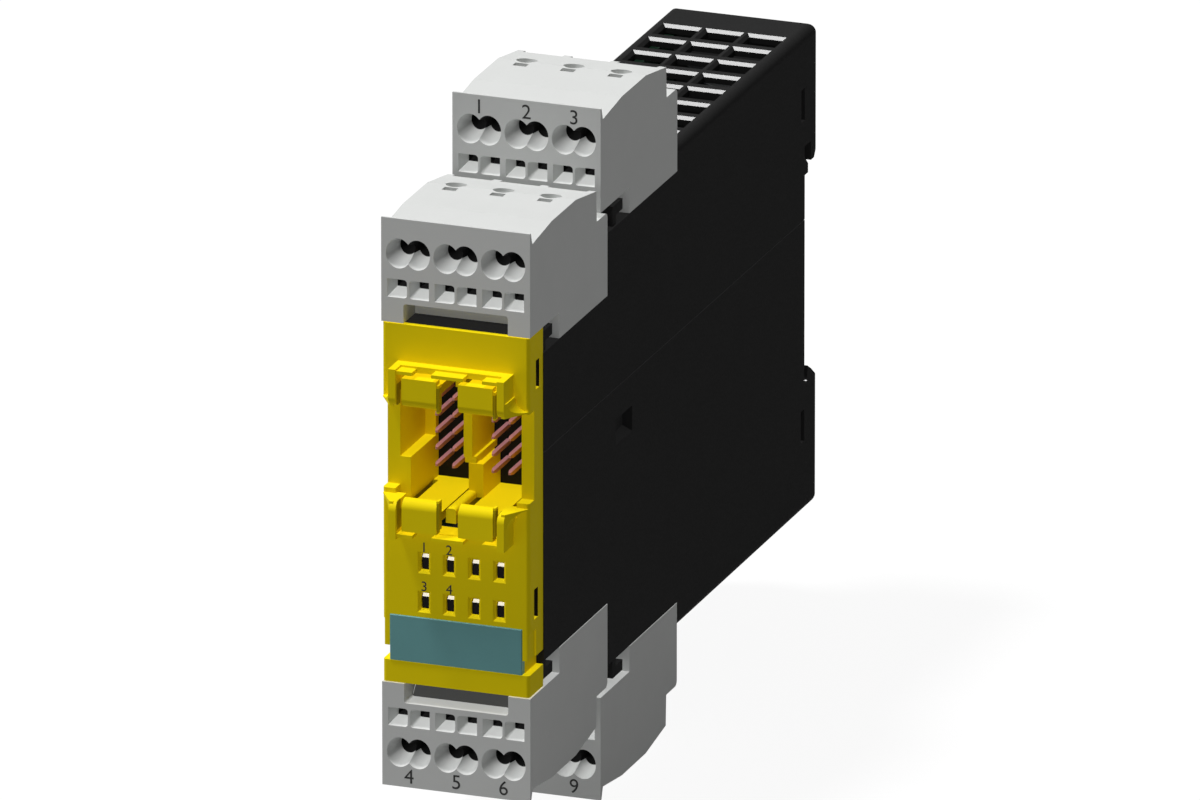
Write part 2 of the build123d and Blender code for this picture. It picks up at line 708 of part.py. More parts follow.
def placed(shape, tier, side):
    """A copy of an upper front piece in its own tier, above or below."""
    moved = Pos(0, tier * TIER_PITCH, tier * TIER_RISE) * shape
    return moved if side > 0 else mirror(moved, about=Plane.XY)


def group(solids):
    """Like pieces kept together as separate solids."""
    return Compound(children=[s if isinstance(s, Solid) else s.solids()[0] for s in solids])


def write_blocks():
    """The four blocks with their contacts and springs."""
    block = terminal_block()
    base = terminal_base()
    contacts = group([contact(x) for x in POLE_PLACES])
    springs = group([clamp_spring(x + side * ENTRY_PITCH / 2) for x in POLE_PLACES for side in (1, -1)])
    for tier, depth_name in enumerate(("front", "rear")):
        for side, height_name in ((1, "upper"), (-1, "lower")):
            name = f"{height_name}_{depth_name}"
            write(placed(block, tier, side), f"terminal_block_{name}")
            write(placed(base, tier, side), f"terminal_base_{name}")
            write(placed(contacts, tier, side), f"contacts_{name}")
            write(placed(springs, tier, side), f"clamp_springs_{name}")


def plug_tab(x, grow):
    """Upright blade that enters the block's fork, or the slot for it in its carrier."""
    half_x = TAB_THICKNESS / 2 + grow
    half_d = TAB_WIDTH / 2 + grow
    root = LEDGE_HEIGHT - WALL - FIT - TAB_ROOT
    return box(x - half_x, x + half_x, TAB_DEPTH - half_d, TAB_DEPTH + half_d, root - grow, LEDGE_HEIGHT + TAB_STAND)


def tab_carrier():
    """Moulded bar between the two boards that holds three plug tabs."""
    top = LEDGE_HEIGHT - WALL - FIT
    half = CARRIER_LENGTH / 2
    body = box(-BOARD_INNER, BOARD_INNER, TAB_DEPTH - half, TAB_DEPTH + half, top - CARRIER_HEIGHT, top)
    return body - [plug_tab(x, FIT / 2) for x in POLE_PLACES]


def write_tabs():
    """Plug tabs and their carriers under the four ledges."""
    tabs = group([plug_tab(x, 0) for x in POLE_PLACES])
    carrier = tab_carrier()
    for tier, depth_name in enumerate(("front", "rear")):
        for side, height_name in ((1, "upper"), (-1, "lower")):
            write(placed(tabs, tier, side), f"plug_tabs_{height_name}_{depth_name}")
            write(placed(carrier, tier, side), f"tab_carrier_{height_name}_{depth_name}")


# Front cover


def cover_cap():
    """Cap over the housing's front with its hollow, set-back middle and skirt."""
    half = COVER_WIDTH / 2
    inner_top = LEDGE_HEIGHT - WALL - SKIRT_CLEARANCE
    skirt_half = INNER_HALF - SKIRT_CLEARANCE
    cap = box(-half, half, 0, COVER_SIDE_DEPTH, -COVER_HALF_HEIGHT, COVER_HALF_HEIGHT)
    upright = [e for e in cap.edges().filter_by(Axis.Z) if abs(e.center().Y + SEAT_DEPTH) < 0.01]
    cap = fillet(upright, COVER_EDGE)
    back = COVER_SIDE_DEPTH + SKIRT_DEPTH
    cap += box(-skirt_half, skirt_half, COVER_WALL, back, -inner_top, inner_top)
    hollow_half = skirt_half - SKIRT_WALL
    hollow_top = inner_top - SKIRT_WALL
    label_back = LABEL_THICKNESS - LABEL_PROUD + COVER_WALL
    cap -= box(-hollow_half, hollow_half, COVER_WALL, back + 1, LABEL_TOP, hollow_top)
    cap -= box(-hollow_half, hollow_half, label_back, back + 1, -hollow_top, LABEL_TOP + 1)
    cap -= box(-half - 1, half + 1, -1, PILLAR_SETBACK, PILLAR_BOTTOM, PILLAR_TOP)
    pocket = cover_tongue(TONGUE_CLEARANCE)
    return cap - pocket - mirror(pocket, about=Plane.XY)


def socket_tube():
    """Walls round both sockets, from the set-back front to the pin headers."""
    half = INNER_HALF - SKIRT_CLEARANCE
    top = SOCKET_HEIGHT + ARM_THICKNESS
    return box(-half, half, PILLAR_SETBACK, SOCKET_BACK, -ARM_THICKNESS, top)


def socket_space():
    """Both sockets as one space, with the way in between the frames' legs."""
    half = SOCKET_HALF_WIDTH
    space = box(-half, half, -1, SOCKET_BACK + 1, 0, SOCKET_HEIGHT)
    mouth = box(-FRAME_MOUTH, FRAME_MOUTH, -1, PILLAR_SETBACK, FRAME_BOTTOM + FRAME_BAR, FRAME_TOP - FRAME_BAR)
    return space + mouth


def socket_fittings():
    """Stepped divider between the sockets, keyway block and the rib of the floor."""
    left, right = DIVIDER_SIDES
    nose_bottom, nose_top = DIVIDER_NOSE
    divider = box(left, right, DIVIDER_DEPTH, SOCKET_BACK, -FIT, SOCKET_HEIGHT + FIT)
    divider += box(left, right, DIVIDER_NOSE_DEPTH, SOCKET_BACK, nose_bottom, nose_top)
    divider += box(left, SHELF_SIDE, SHELF_DEPTH, SOCKET_BACK, nose_bottom - SHELF_THICKNESS, nose_bottom)
    divider += box(left, STEP_SIDE, STEP_DEPTH, SOCKET_BACK, -FIT, STEP_TOP)
    wall = -SOCKET_HALF_WIDTH
    keyway = box(wall - FIT, wall + KEYWAY_WIDTH, PILLAR_SETBACK, SOCKET_BACK, -FIT, KEYWAY_HEIGHT)
    keyway += box(wall - FIT, wall + KEYWAY_WIDTH, KEYWAY_BACK, SOCKET_BACK, 0, SOCKET_HEIGHT + FIT)
    rib_half = ARM_CENTRE - ARM_WIDTH / 2 - ARM_SLOT
    rib = box(-rib_half, rib_half, FLOOR_RIB_FRONT, SOCKET_BACK, -ARM_THICKNESS, FLOOR_RIB_RISE)
    ridge = rib.edges().filter_by(Axis.Y).group_by(Axis.Z)[-1]
    return divider + keyway + fillet(ridge, FLOOR_RIB_ROUND)


def latch_arm(side, upper):
    """Springy arm beside two slots, with a lip rounded towards the socket."""
    x0 = side * ARM_CENTRE - ARM_WIDTH / 2
    x1 = x0 + ARM_WIDTH
    z0 = ARM_TOPS[0] if upper else ARM_TOPS[1]
    z1 = z0 + ARM_THICKNESS
    arm = box(x0, x1, LIP_FRONT + LIP_PLATE / 2, ARM_ROOT + 1, z0, z1)
    low = z0 - LIP_OVERHANG if upper else z0 - LOWER_LIP_DROP
    high = z1 + LIP_RISE if upper else z1 + LOWER_LIP_RISE
    plate = box(x0, x1, LIP_FRONT, LIP_FRONT + LIP_PLATE, low, high)
    edge_height = low if upper else high
    corner = plate.edges().filter_by(Axis.X).sort_by_distance((0, LIP_FRONT - SEAT_DEPTH, edge_height))[0]
    rib_front = LIP_FRONT + LIP_RIB_SETBACK
    rib_low = low - LIP_RIB_DROP if upper else low + LIP_ROUND / 2
    rib_high = high - LIP_ROUND / 2 if upper else high + LIP_RIB_DROP
    rib = box(x1 - FIT, x1 + LIP_RIB_WIDTH, rib_front, LIP_FRONT + LIP_PLATE, rib_low, rib_high)
    return arm + fillet(corner, LIP_ROUND) + rib


def arm_slots(side):
    """Slots that free the upper and the lower arm of one socket."""
    slots = []
    for edge in (-1, 1):
        near = side * ARM_CENTRE + edge * ARM_WIDTH / 2
        x0, x1 = sorted((near, near + edge * ARM_SLOT))
        for z0 in ARM_TOPS:
            slots.append(box(x0, x1, FLOOR_RIB_FRONT - 1, ARM_ROOT, z0 - FIT, z0 + ARM_THICKNESS + FIT))
    return slots


def frame_flare(side, end, away):
    """Curved web that spreads from a frame leg's end out to the cover's side."""
    inner = FRAME_HALF_WIDTH - FRAME_LEG / 2
    outer = FRAME_HALF_WIDTH
    edge = outer + FRAME_FLARE
    front = FLARE_SETBACK - FRAME_REACH
    points = [(inner, front), (outer, front), (edge, -FLARE_EDGE), (edge, COVER_EDGE), (inner, COVER_EDGE)]
    outline = Polyline([(side * x, depth - SEAT_DEPTH) for x, depth in points], close=True)
    low, high = sorted((end, end + away * FRAME_FLARE))
    web = extrude(Plane.XY.offset(low) * make_face(outline), amount=high - low, dir=(0, 0, 1))
    sweep = Pos(side * edge, -SEAT_DEPTH, end + away * FRAME_FLARE) * Rot(90, 0, 0)
    return web - sweep * Cylinder(FRAME_FLARE - FLARE_EDGE, 4 * FRAME_REACH)


def latch_frame(upper):
    """U-shaped frame round a pair of latch arms, with three small ledges."""
    bar_edge = FRAME_TOP if upper else FRAME_BOTTOM
    inward = -1 if upper else 1
    bar = sorted((bar_edge, bar_edge + inward * FRAME_BAR))
    body = box(-FRAME_HALF_WIDTH, FRAME_HALF_WIDTH, -FRAME_BAR_REACH, COVER_EDGE, *bar)
    ledge_edge = bar_edge + inward * FRAME_LEDGE_STEP
    ledge = sorted((ledge_edge, ledge_edge + inward * FRAME_LEDGE_HEIGHT))
    outer_ledge = (FRAME_LEDGE_INNER, FRAME_MOUTH + FIT)
    left_ledge = (-FRAME_MOUTH - FIT, -FRAME_LEDGE_INNER)
    for x0, x1 in (left_ledge, (-FRAME_LEDGE_MIDDLE, FRAME_LEDGE_MIDDLE), outer_ledge):
        body += box(x0, x1, -FRAME_LEDGE_REACH, -FRAME_BAR_REACH / 2, *ledge)
    end = bar_edge + inward * FRAME_LEG_HEIGHT
    for side in (1, -1):
        x0, x1 = sorted((side * (FRAME_HALF_WIDTH - FRAME_LEG), side * FRAME_HALF_WIDTH))
        leg = box(x0, x1, -FRAME_REACH, COVER_EDGE, *sorted((bar_edge, end)))
        corner = leg.edges().filter_by(Axis.X).sort_by_distance((x0, -FRAME_REACH - SEAT_DEPTH, end))[0]
        body += fillet(corner, LIP_ROUND)
        body += frame_flare(side, end, -inward)
    return body


def window_places():
    """Places of the indicator windows across and up the cover."""
    return [(WINDOW_FIRST + i * WINDOW_PITCH, z) for z in WINDOW_HEIGHTS for i in range(WINDOW_COUNT)]


def window_cutter(x, z):
    """One indicator window with a chamfer round its front edge."""
    near = (WINDOW_WIDTH + 2 * WINDOW_CHAMFER, WINDOW_HEIGHT + 2 * WINDOW_CHAMFER)
    chamfered = front_taper(near, (WINDOW_WIDTH, WINDOW_HEIGHT), x, 0, z, WINDOW_CHAMFER)
    half_x = WINDOW_WIDTH / 2
    half_z = WINDOW_HEIGHT / 2
    return chamfered + box(x - half_x, x + half_x, 0, COVER_WALL + 1, z - half_z, z + half_z)


def label_cuts():
    """Seat of the label plate and the cut-outs at its sides."""
    half = LABEL_WIDTH / 2 + FIT / 2
    edge = COVER_WIDTH / 2
    seat_depth = LABEL_THICKNESS - LABEL_PROUD
    cuts = [box(-half, half, -1, seat_depth, STRIP_TOP, LABEL_TOP + FIT / 2)]
    for side in (1, -1):
        x0, x1 = sorted((side * half, side * (edge + 1)))
        cuts.append(box(x0, x1, -1, COVER_SIDE_DEPTH + 1, STRIP_TOP, SIDE_TAB_BOTTOM))
        x0, x1 = sorted((side * (edge - SIDE_TAB_INSET), side * (edge + 1)))
        cuts.append(box(x0, x1, -1, COVER_SIDE_DEPTH / 2, SIDE_TAB_BOTTOM, SIDE_TAB_TOP))
    return cuts


def snap_window(depth0, depth1, z0, z1, side):
    """Window in a side wall that a housing snap would enter."""
    x0, x1 = sorted((side * (COVER_WIDTH / 2 - SNAP_DEPTH), side * (COVER_WIDTH / 2 + 1)))
    return box(x0, x1, depth0, depth1, z0, z1)


def front_cover():
    """The whole yellow cover."""
    body = cover_cap() + socket_tube()
    body -= socket_space()
    for side in (1, -1):
        body -= arm_slots(side)
    body += socket_fittings()
    for side in (1, -1):
        body += latch_arm(side, True) + latch_arm(side, False)
    body += latch_frame(True) + latch_frame(False)
    body -= [window_cutter(x, z) for x, z in window_places()]
    body -= label_cuts()
    body -= [snap_window(*window, side) for window in SNAP_WINDOWS for side in (1, -1)]
    return body


def label_plate():
    """Plain plate that lies in the cover's seat and stands slightly proud."""
    half = LABEL_WIDTH / 2
    plate = box(-half, half, -LABEL_PROUD, LABEL_THICKNESS - LABEL_PROUD, LABEL_TOP - LABEL_HEIGHT, LABEL_TOP)
    front = plate.faces().sort_by(Axis.Y)[0]
    return chamfer(front.edges(), LABEL_PROUD / 2)


# Pin headers, indicators and boards


def pin_places(side):
    """Places of the pins of one socket."""
    columns = [side * ARM_CENTRE + step * PIN_PITCH / 2 for step in (-1, 1)]
    return [(x, PIN_TOP - row * PIN_PITCH) for x in columns for row in range(PIN_ROWS)]


def pin(x, z):
    """Square pin with a tapered tip."""
    half = PIN_SIZE / 2
    start = PIN_TIP_DEPTH + PIN_TIP_LENGTH
    shaft = box(x - half, x + half, start, BOARD_BACK + PIN_TAIL, z - half, z + half)
    return shaft + front_taper((half, half), (PIN_SIZE, PIN_SIZE), x, PIN_TIP_DEPTH, z, PIN_TIP_LENGTH)


def pin_holes(side, depth0, depth1):
    """Square holes for the pins of one socket through a base or a board."""
    half = PIN_SIZE / 2 + FIT / 2
    return [box(x - half, x + half, depth0 - 1, depth1 + 1, z - half, z + half) for x, z in pin_places(side)]


def header(side):
    """Moulded base that closes the back of one socket and holds its pins."""
    outer = INNER_HALF - HEADER_MARGIN
    x0, x1 = sorted((side * FIT, side * outer))
    margin = ARM_THICKNESS / 2
    base = box(x0, x1, HEADER_FRONT, BOARD_FRONT, -margin, SOCKET_HEIGHT + margin)
    return base - pin_holes(side, HEADER_FRONT, BOARD_FRONT)


def light_guides():
    """Rods from the indicators to the cover's windows, joined by one web."""
    rod_half = WINDOW_WIDTH / 2 - GUIDE_CLEARANCE
    tall_half = WINDOW_HEIGHT / 2 - GUIDE_CLEARANCE
    back = BOARD_FRONT - LED_SIZE[1] - FIT
    last = WINDOW_FIRST + (WINDOW_COUNT - 1) * WINDOW_PITCH
    body = box(
        WINDOW_FIRST - WINDOW_WIDTH, last + WINDOW_WIDTH, *GUIDE_WEB,
        min(WINDOW_HEIGHTS) - WINDOW_HEIGHT, max(WINDOW_HEIGHTS) + WINDOW_HEIGHT,
    )
    for x, z in window_places():
        outline = [
            (GUIDE_FRONT, z - tall_half),
            (back, z - tall_half),
            (back, z + tall_half),
            (GUIDE_FRONT + GUIDE_SLOPE, z + tall_half),
            (GUIDE_FRONT, z + tall_half - GUIDE_SLOPE),
        ]
        body += side_profile(outline, x - rod_half, x + rod_half)
    return body


def indicator(x, z):
    """One indicator chip on the front board, its front edges bevelled."""
    width, depth, height = LED_SIZE
    chip = box(x - width / 2, x + width / 2, BOARD_FRONT - depth, BOARD_FRONT, z - height / 2, z + height / 2)
    return chamfer(chip.faces().sort_by(Axis.Y)[0].edges(), FIT)


def front_board():
    """Board across the front that carries the headers and indicators."""
    top = LEDGE_HEIGHT - WALL - BOARD_EDGE_GAP
    board = box(-BOARD_OUTER, BOARD_OUTER, BOARD_FRONT, BOARD_BACK, -top, top)
    for side in (1, -1):
        board -= pin_holes(side, BOARD_FRONT, BOARD_BACK)
    return board


def side_board(side):
    """Long board along one side wall, stepped like the housing."""
    tops = [height - WALL - BOARD_EDGE_GAP for height in (*LEDGES, HALF_HEIGHT)]
    starts = [BOARD_BACK] + [depth + WALL + BOARD_EDGE_GAP for depth in WALL_DEPTHS]
    back = SEAT_DEPTH - WALL - BOARD_EDGE_GAP
    x0, x1 = sorted((side * BOARD_INNER, side * BOARD_OUTER))
    body = box(x0, x1, starts[0], back, -tops[0], tops[0])
    for start, top in zip(starts[1:], tops[1:]):
        body += box(x0, x1, start, back, -top, top)
    return body


def chip(depth, z):
    """Flat square chip on the main board, with its rows of leads as thin shelves."""
    half = CHIP_SIZE / 2
    base = BOARD_INNER
    body = box(base - CHIP_HEIGHT, base - FIT, depth - half, depth + half, z - half, z + half)
    body = chamfer(body.faces().sort_by(Axis.X)[0].edges(), CHIP_HEIGHT / 5)
    reach = half + CHIP_LEAD
    thin = CHIP_HEIGHT / 5
    leads = box(base - thin, base, depth - reach, depth + reach, z - half + thin, z + half - thin)
    return body + leads + box(base - thin, base, depth - half + thin, depth + half - thin, z - reach, z + reach)


def capacitor(depth, z):
    """Round capacitor standing on the power board, with a grooved can."""
    axis = Pos(-BOARD_INNER, depth - SEAT_DEPTH, z) * Rot(0, 90, 0)
    can = axis * Pos(0, 0, CAPACITOR_HEIGHT / 2) * Cylinder(CAPACITOR_RADIUS, CAPACITOR_HEIGHT)
    groove = Pos(0, 0, CAPACITOR_RADIUS / 2) * Torus(CAPACITOR_RADIUS + 0.1, CAPACITOR_RADIUS / 10)
    return chamfer(can.edges().group_by(Axis.X)[-1], CAPACITOR_RADIUS / 10) - axis * groove


def output_switch(depth, z):
    """Power transistor on the main board, with its soldered cooling tab."""
    half = SWITCH_SIZE / 2
    body = box(BOARD_INNER - SWITCH_HEIGHT, BOARD_INNER, depth - half, depth + half, z - half, z + half)
    body = chamfer(body.faces().sort_by(Axis.X)[0].edges(), SWITCH_HEIGHT / 6)
    tab_half = half - SWITCH_TAB / 2
    front = depth + half - FIT
    tab = box(BOARD_INNER - SWITCH_HEIGHT / 4, BOARD_INNER, front, front + SWITCH_TAB, z - tab_half, z + tab_half)
    return body + tab


def transformer():
    """Framed core of the supply transformer, and the coil inside it."""
    depth, z = CORE_PLACE
    half = CORE_SIZE / 2
    base = -BOARD_INNER
    top = base + CORE_HEIGHT
    yoke = CORE_HEIGHT / 5
    core = box(base, top, depth - half, depth + half, z - half / 2, z + half / 2)
    core -= box(base + yoke, top - yoke, depth - COIL_RADIUS - FIT, depth + COIL_RADIUS + FIT, z - half, z + half)
    place = Pos((base + top) / 2, depth - SEAT_DEPTH, z) * Rot(0, 90, 0)
    post = place * Cylinder(COIL_RADIUS / 2, CORE_HEIGHT - yoke)
    length = CORE_HEIGHT - 2 * yoke - 2 * FIT
    coil = place * (Cylinder(COIL_RADIUS, length) - Cylinder(COIL_RADIUS / 2 + FIT, length))
    return core + post, coil


def board_link():
    """Upright connector between the two side boards."""
    depth, z = LINK_PLACE
    half = LINK_HEIGHT / 2
    tall = LINK_LENGTH / 2
    body = box(-BOARD_INNER, BOARD_INNER, depth - half, depth + half, z - tall, z + tall)
    return chamfer(body.edges().filter_by(Axis.X), LINK_HEIGHT / 8)


# Spring slider in the upper rail hook


def rail_slider():
    """T-shaped slider whose tip bears on the rail's upper edge."""
    half = SLIDER_WIDTH / 2
    head = SLIDER_HEAD_WIDTH / 2
    depth = SEAT_DEPTH + (UPPER_SLOT_WIDTH - SLIDER_THICKNESS) / 2
    depths = (depth, depth + SLIDER_THICKNESS)
    base = SLIDER_STOP + FIT / 2
    stem = box(-half, half, *depths, SLIDER_TIP, base)
    stem = fillet(stem.faces().sort_by(Axis.Z)[0].edges().filter_by(Axis.X), SLIDER_THICKNESS / 4)
    return stem + box(-head, head, *depths, base, base + SLIDER_HEAD_HEIGHT)


def slider_spring():
    """Bowed leaf between the slider's head and the roof of its pocket."""
    low = SLIDER_STOP + SLIDER_HEAD_HEIGHT + FIT
    half = SLIDER_HEAD_WIDTH / 2
    lower = ThreePointArc((-half, low + LEAF_RISE), (0, low), (half, low + LEAF_RISE))
    upper = Pos(0, LEAF_THICKNESS) * lower
    ends = [Line((x, low + LEAF_RISE), (x, low + LEAF_RISE + LEAF_THICKNESS)) for x in (-half, half)]
    face = make_face(lower.edges() + upper.edges() + ends)
    front = Plane.XZ.offset(-FIT * 2) * face
    return extrude(front, -LEAF_DEPTH + 2 * FIT)


def main():
    """Model every piece and save it."""
    lower, upper = housing_halves()
    core, coil = transformer()
    pieces = {
        "housing_lower": lower,
        "housing_upper": upper,
        "front_cover": front_cover(),
        "label_plate": label_plate(),
        "header_left": header(-1),
        "header_right": header(1),
        "pins_left": group([pin(x, z) for x, z in pin_places(-1)]),
        "pins_right": group([pin(x, z) for x, z in pin_places(1)]),
        "light_guides": light_guides(),
        "indicators": group([indicator(x, z) for x, z in window_places()]),
        "front_board": front_board(),
        "main_board": side_board(1),
        "power_board": side_board(-1),
        "microcontrollers": group([chip(*place) for place in CHIP_PLACES]),
        "capacitors": group([capacitor(*place) for place in CAPACITOR_PLACES]),
        "output_switches": group([output_switch(d, z) for d in SWITCH_PLACES for z in SWITCH_HEIGHTS]),
        "transformer_core": core,
        "transformer_coil": coil,
        "board_link": board_link(),
        "rail_slider": rail_slider(),
        "slider_spring": slider_spring(),
    }
    for name, shape in pieces.items():
        write(shape, name)
    write_blocks()
    write_tabs()


main()
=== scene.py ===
"""Dresses the safety expansion module: finishes, printed numbers, inner fittings, studio and camera.

Lengths are in millimetres unless a line says metres, and MM takes them to metres.
"""

import logging
import math
from dataclasses import dataclass
from enum import Enum
from typing import Callable, Iterable

import bpy
from mathutils import Matrix, Vector


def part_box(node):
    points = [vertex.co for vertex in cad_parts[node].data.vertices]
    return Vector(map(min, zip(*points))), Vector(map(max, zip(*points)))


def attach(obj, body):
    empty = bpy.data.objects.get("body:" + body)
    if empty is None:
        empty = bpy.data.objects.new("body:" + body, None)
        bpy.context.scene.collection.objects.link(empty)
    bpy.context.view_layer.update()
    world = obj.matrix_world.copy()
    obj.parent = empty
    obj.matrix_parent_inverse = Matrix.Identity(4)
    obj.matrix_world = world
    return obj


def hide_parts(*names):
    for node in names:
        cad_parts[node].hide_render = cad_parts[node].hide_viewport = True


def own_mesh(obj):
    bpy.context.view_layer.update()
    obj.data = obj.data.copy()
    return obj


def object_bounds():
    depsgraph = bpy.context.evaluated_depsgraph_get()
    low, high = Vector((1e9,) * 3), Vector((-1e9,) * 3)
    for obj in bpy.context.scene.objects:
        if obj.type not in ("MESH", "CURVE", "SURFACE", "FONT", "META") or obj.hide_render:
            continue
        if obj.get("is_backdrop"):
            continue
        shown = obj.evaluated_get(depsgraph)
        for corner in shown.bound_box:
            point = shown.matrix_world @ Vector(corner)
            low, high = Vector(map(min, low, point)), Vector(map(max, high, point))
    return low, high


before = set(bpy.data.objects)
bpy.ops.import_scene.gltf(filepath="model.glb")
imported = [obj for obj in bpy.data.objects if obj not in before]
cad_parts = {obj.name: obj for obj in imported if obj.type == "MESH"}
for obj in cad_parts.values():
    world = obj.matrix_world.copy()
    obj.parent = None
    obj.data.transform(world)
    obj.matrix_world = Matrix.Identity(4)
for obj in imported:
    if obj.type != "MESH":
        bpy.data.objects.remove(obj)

LOG = logging.getLogger("module")
MM = 0.001

Socket = bpy.types.NodeSocket
Material = bpy.types.Material
Piece = bpy.types.Object
Colour = tuple[float, float, float]
Point = tuple[float, float, float]
Span = tuple[float, float]
Test = Callable[[Vector, Vector], bool]

# The two colour inputs and the colour output of a colour mix node.
MIX_A, MIX_B, MIX_RESULT = 6, 7, 2
# A noise pattern's middle range, which is spread over the whole of what it steers.
NOISE_RANGE = (0.3, 0.7)
# How far the grain takes the roughness to each side.
ROUGHNESS_SPREAD = 0.1
# A face looks along an axis when its normal's share of the axis is above this.
FACING = 0.9
ROUND_SIDES = 32
SMOOTH_ANGLE = 40.0


class Body(Enum):
    """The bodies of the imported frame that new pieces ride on."""

    MODULE = "module"
    UPPER_REAR = "upper_rear_terminals"
    LOWER_FRONT = "lower_front_terminals"
    LOWER_REAR = "lower_rear_terminals"


class Slot(Enum):
    """The material slots named for new pieces."""

    COVER = "yellow_cover"
    BLOCK = "grey_block"
    EPOXY = "chip_epoxy"
    CAN = "capacitor_can"
    TAPE = "coil_tape"
    SPRING = "spring_steel"
    COPPER = "tinned_copper"


# Finishes


class Graph:
    """A small writer of shader nodes for one material."""

    def __init__(self, name: str) -> None:
        """Starts an empty node material.

        Args:
            name: The name of the material.
        """
        self.material = bpy.data.materials.new(name)
        self.material.use_nodes = True
        self.tree = self.material.node_tree
        self.tree.nodes.clear()
        self.place = self.add("ShaderNodeTexCoord")

    def add(self, kind: str, **values: object) -> bpy.types.Node:
        """Adds one node and sets its attributes or its sockets.

        Args:
            kind: The node's type name.
            **values: Attributes, or sockets by their name with blanks as underscores.

        Returns:
            The new node.
        """
        node = self.tree.nodes.new(kind)
        for key, value in values.items():
            if hasattr(node, key):
                setattr(node, key, value)
            else:
                node.inputs[key.replace("_", " ")].default_value = value
        return node

    def link(self, source: Socket, target: Socket) -> None:
        """Joins two sockets."""
        self.tree.links.new(source, target)

    def noise(self, feature: float, detail: float = 3.0, stretch: Point = (1.0, 1.0, 1.0)) -> Socket:
        """Makes a noise pattern fixed to the piece.

        Args:
            feature: The size of one feature, in metres.
            detail: How many finer layers the pattern has.
            stretch: How much finer the pattern is along each axis.

        Returns:
            The pattern's grey value.
        """
        mapping = self.add("ShaderNodeMapping")
        mapping.inputs["Scale"].default_value = tuple(s / feature for s in stretch)
        self.link(self.place.outputs["Object"], mapping.inputs["Vector"])
        node = self.add("ShaderNodeTexNoise", Scale=1.0, Detail=detail, Roughness=0.55)
        self.link(mapping.outputs["Vector"], node.inputs["Vector"])
        return node.outputs["Fac"]

    def spread(self, value: Socket, low: float, high: float) -> Socket:
        """Maps a pattern's middle range onto two values.

        Args:
            value: The pattern.
            low: The result at the pattern's dark end.
            high: The result at its light end.

        Returns:
            The mapped value.
        """
        node = self.add("ShaderNodeMapRange")
        for key, number in zip(("From Min", "From Max", "To Min", "To Max"), (*NOISE_RANGE, low, high)):
            node.inputs[key].default_value = number
        self.link(value, node.inputs["Value"])
        return node.outputs["Result"]

    def tint(self, value: Socket, dark: Colour, light: Colour) -> Socket:
        """Blends two colours by a pattern.

        Args:
            value: The pattern.
            dark: The colour at its dark end.
            light: The colour at its light end.

        Returns:
            The blended colour.
        """
        node = self.add("ShaderNodeMix", data_type="RGBA")
        node.inputs[MIX_A].default_value = (*dark, 1.0)
        node.inputs[MIX_B].default_value = (*light, 1.0)
        self.link(self.spread(value, 0.0, 1.0), node.inputs[0])
        return node.outputs[MIX_RESULT]

    def bump(self, height: Socket, depth: float) -> Socket:
        """Turns a height into a disturbed normal.

        Args:
            height: The pattern of heights.
            depth: How deep the pattern is, in metres.

        Returns:
            The normal.
        """
        node = self.add("ShaderNodeBump", Strength=1.0, Distance=depth)
        self.link(height, node.inputs["Height"])
        return node.outputs["Normal"]

    def close(self, shader: Socket) -> Material:
        """Ends the material with its shader and returns it."""
        self.link(shader, self.add("ShaderNodeOutputMaterial").inputs["Surface"])
        return self.material


def scaled(colour: Colour, factor: float) -> Colour:
    """Returns a colour made darker or lighter by one factor."""
    return tuple(min(1.0, c * factor) for c in colour)


@dataclass(frozen=True)
class Finish:
    """A surface finish with colour variation, roughness and grain.

    Attributes:
        name: The material's name.
        colour: The linear base colour.
        roughness: The middle roughness.
        specular: The shader's specular level.
        metallic: 1 for bare metal.
        mottle: How far the colour wanders to each side.
        mottle_size: The size of one cloud of colour, in metres.
        grain: The size of one grain of the surface, in metres.
        grain_depth: The depth of the grain, in metres.
        stretch: How much finer the grain is along each axis.
    """

    name: str
    colour: Colour
    roughness: float = 0.5
    specular: float = 0.3
    metallic: float = 0.0
    mottle: float = 0.03
    mottle_size: float = 0.006
    grain: float = 0.00035
    grain_depth: float = 0.000008
    stretch: Point = (1.0, 1.0, 1.0)

    def base_colour(self, graph: Graph) -> Socket:
        """Writes the finish's clouded colour and returns it."""
        clouds = graph.noise(self.mottle_size)
        return graph.tint(clouds, scaled(self.colour, 1 - self.mottle), scaled(self.colour, 1 + self.mottle))

    def shader(self, graph: Graph) -> bpy.types.Node:
        """Writes the finish's own shader.

        Args:
            graph: The material's node writer.

        Returns:
            The shader node.
        """
        grain = graph.noise(self.grain, 2.0, self.stretch)
        node = graph.add("ShaderNodeBsdfPrincipled", Metallic=self.metallic)
        node.inputs["Specular IOR Level"].default_value = self.specular
        graph.link(self.base_colour(graph), node.inputs["Base Color"])
        smooth, coarse = (self.roughness * (1 + way * ROUGHNESS_SPREAD) for way in (-1, 1))
        rough = graph.spread(grain, smooth, min(1.0, coarse))
        graph.link(rough, node.inputs["Roughness"])
        graph.link(graph.bump(grain, self.grain_depth), node.inputs["Normal"])
        return node

    def make(self) -> Material:
        """Builds the material."""
        graph = Graph(self.name)
        return graph.close(self.shader(graph).outputs["BSDF"])


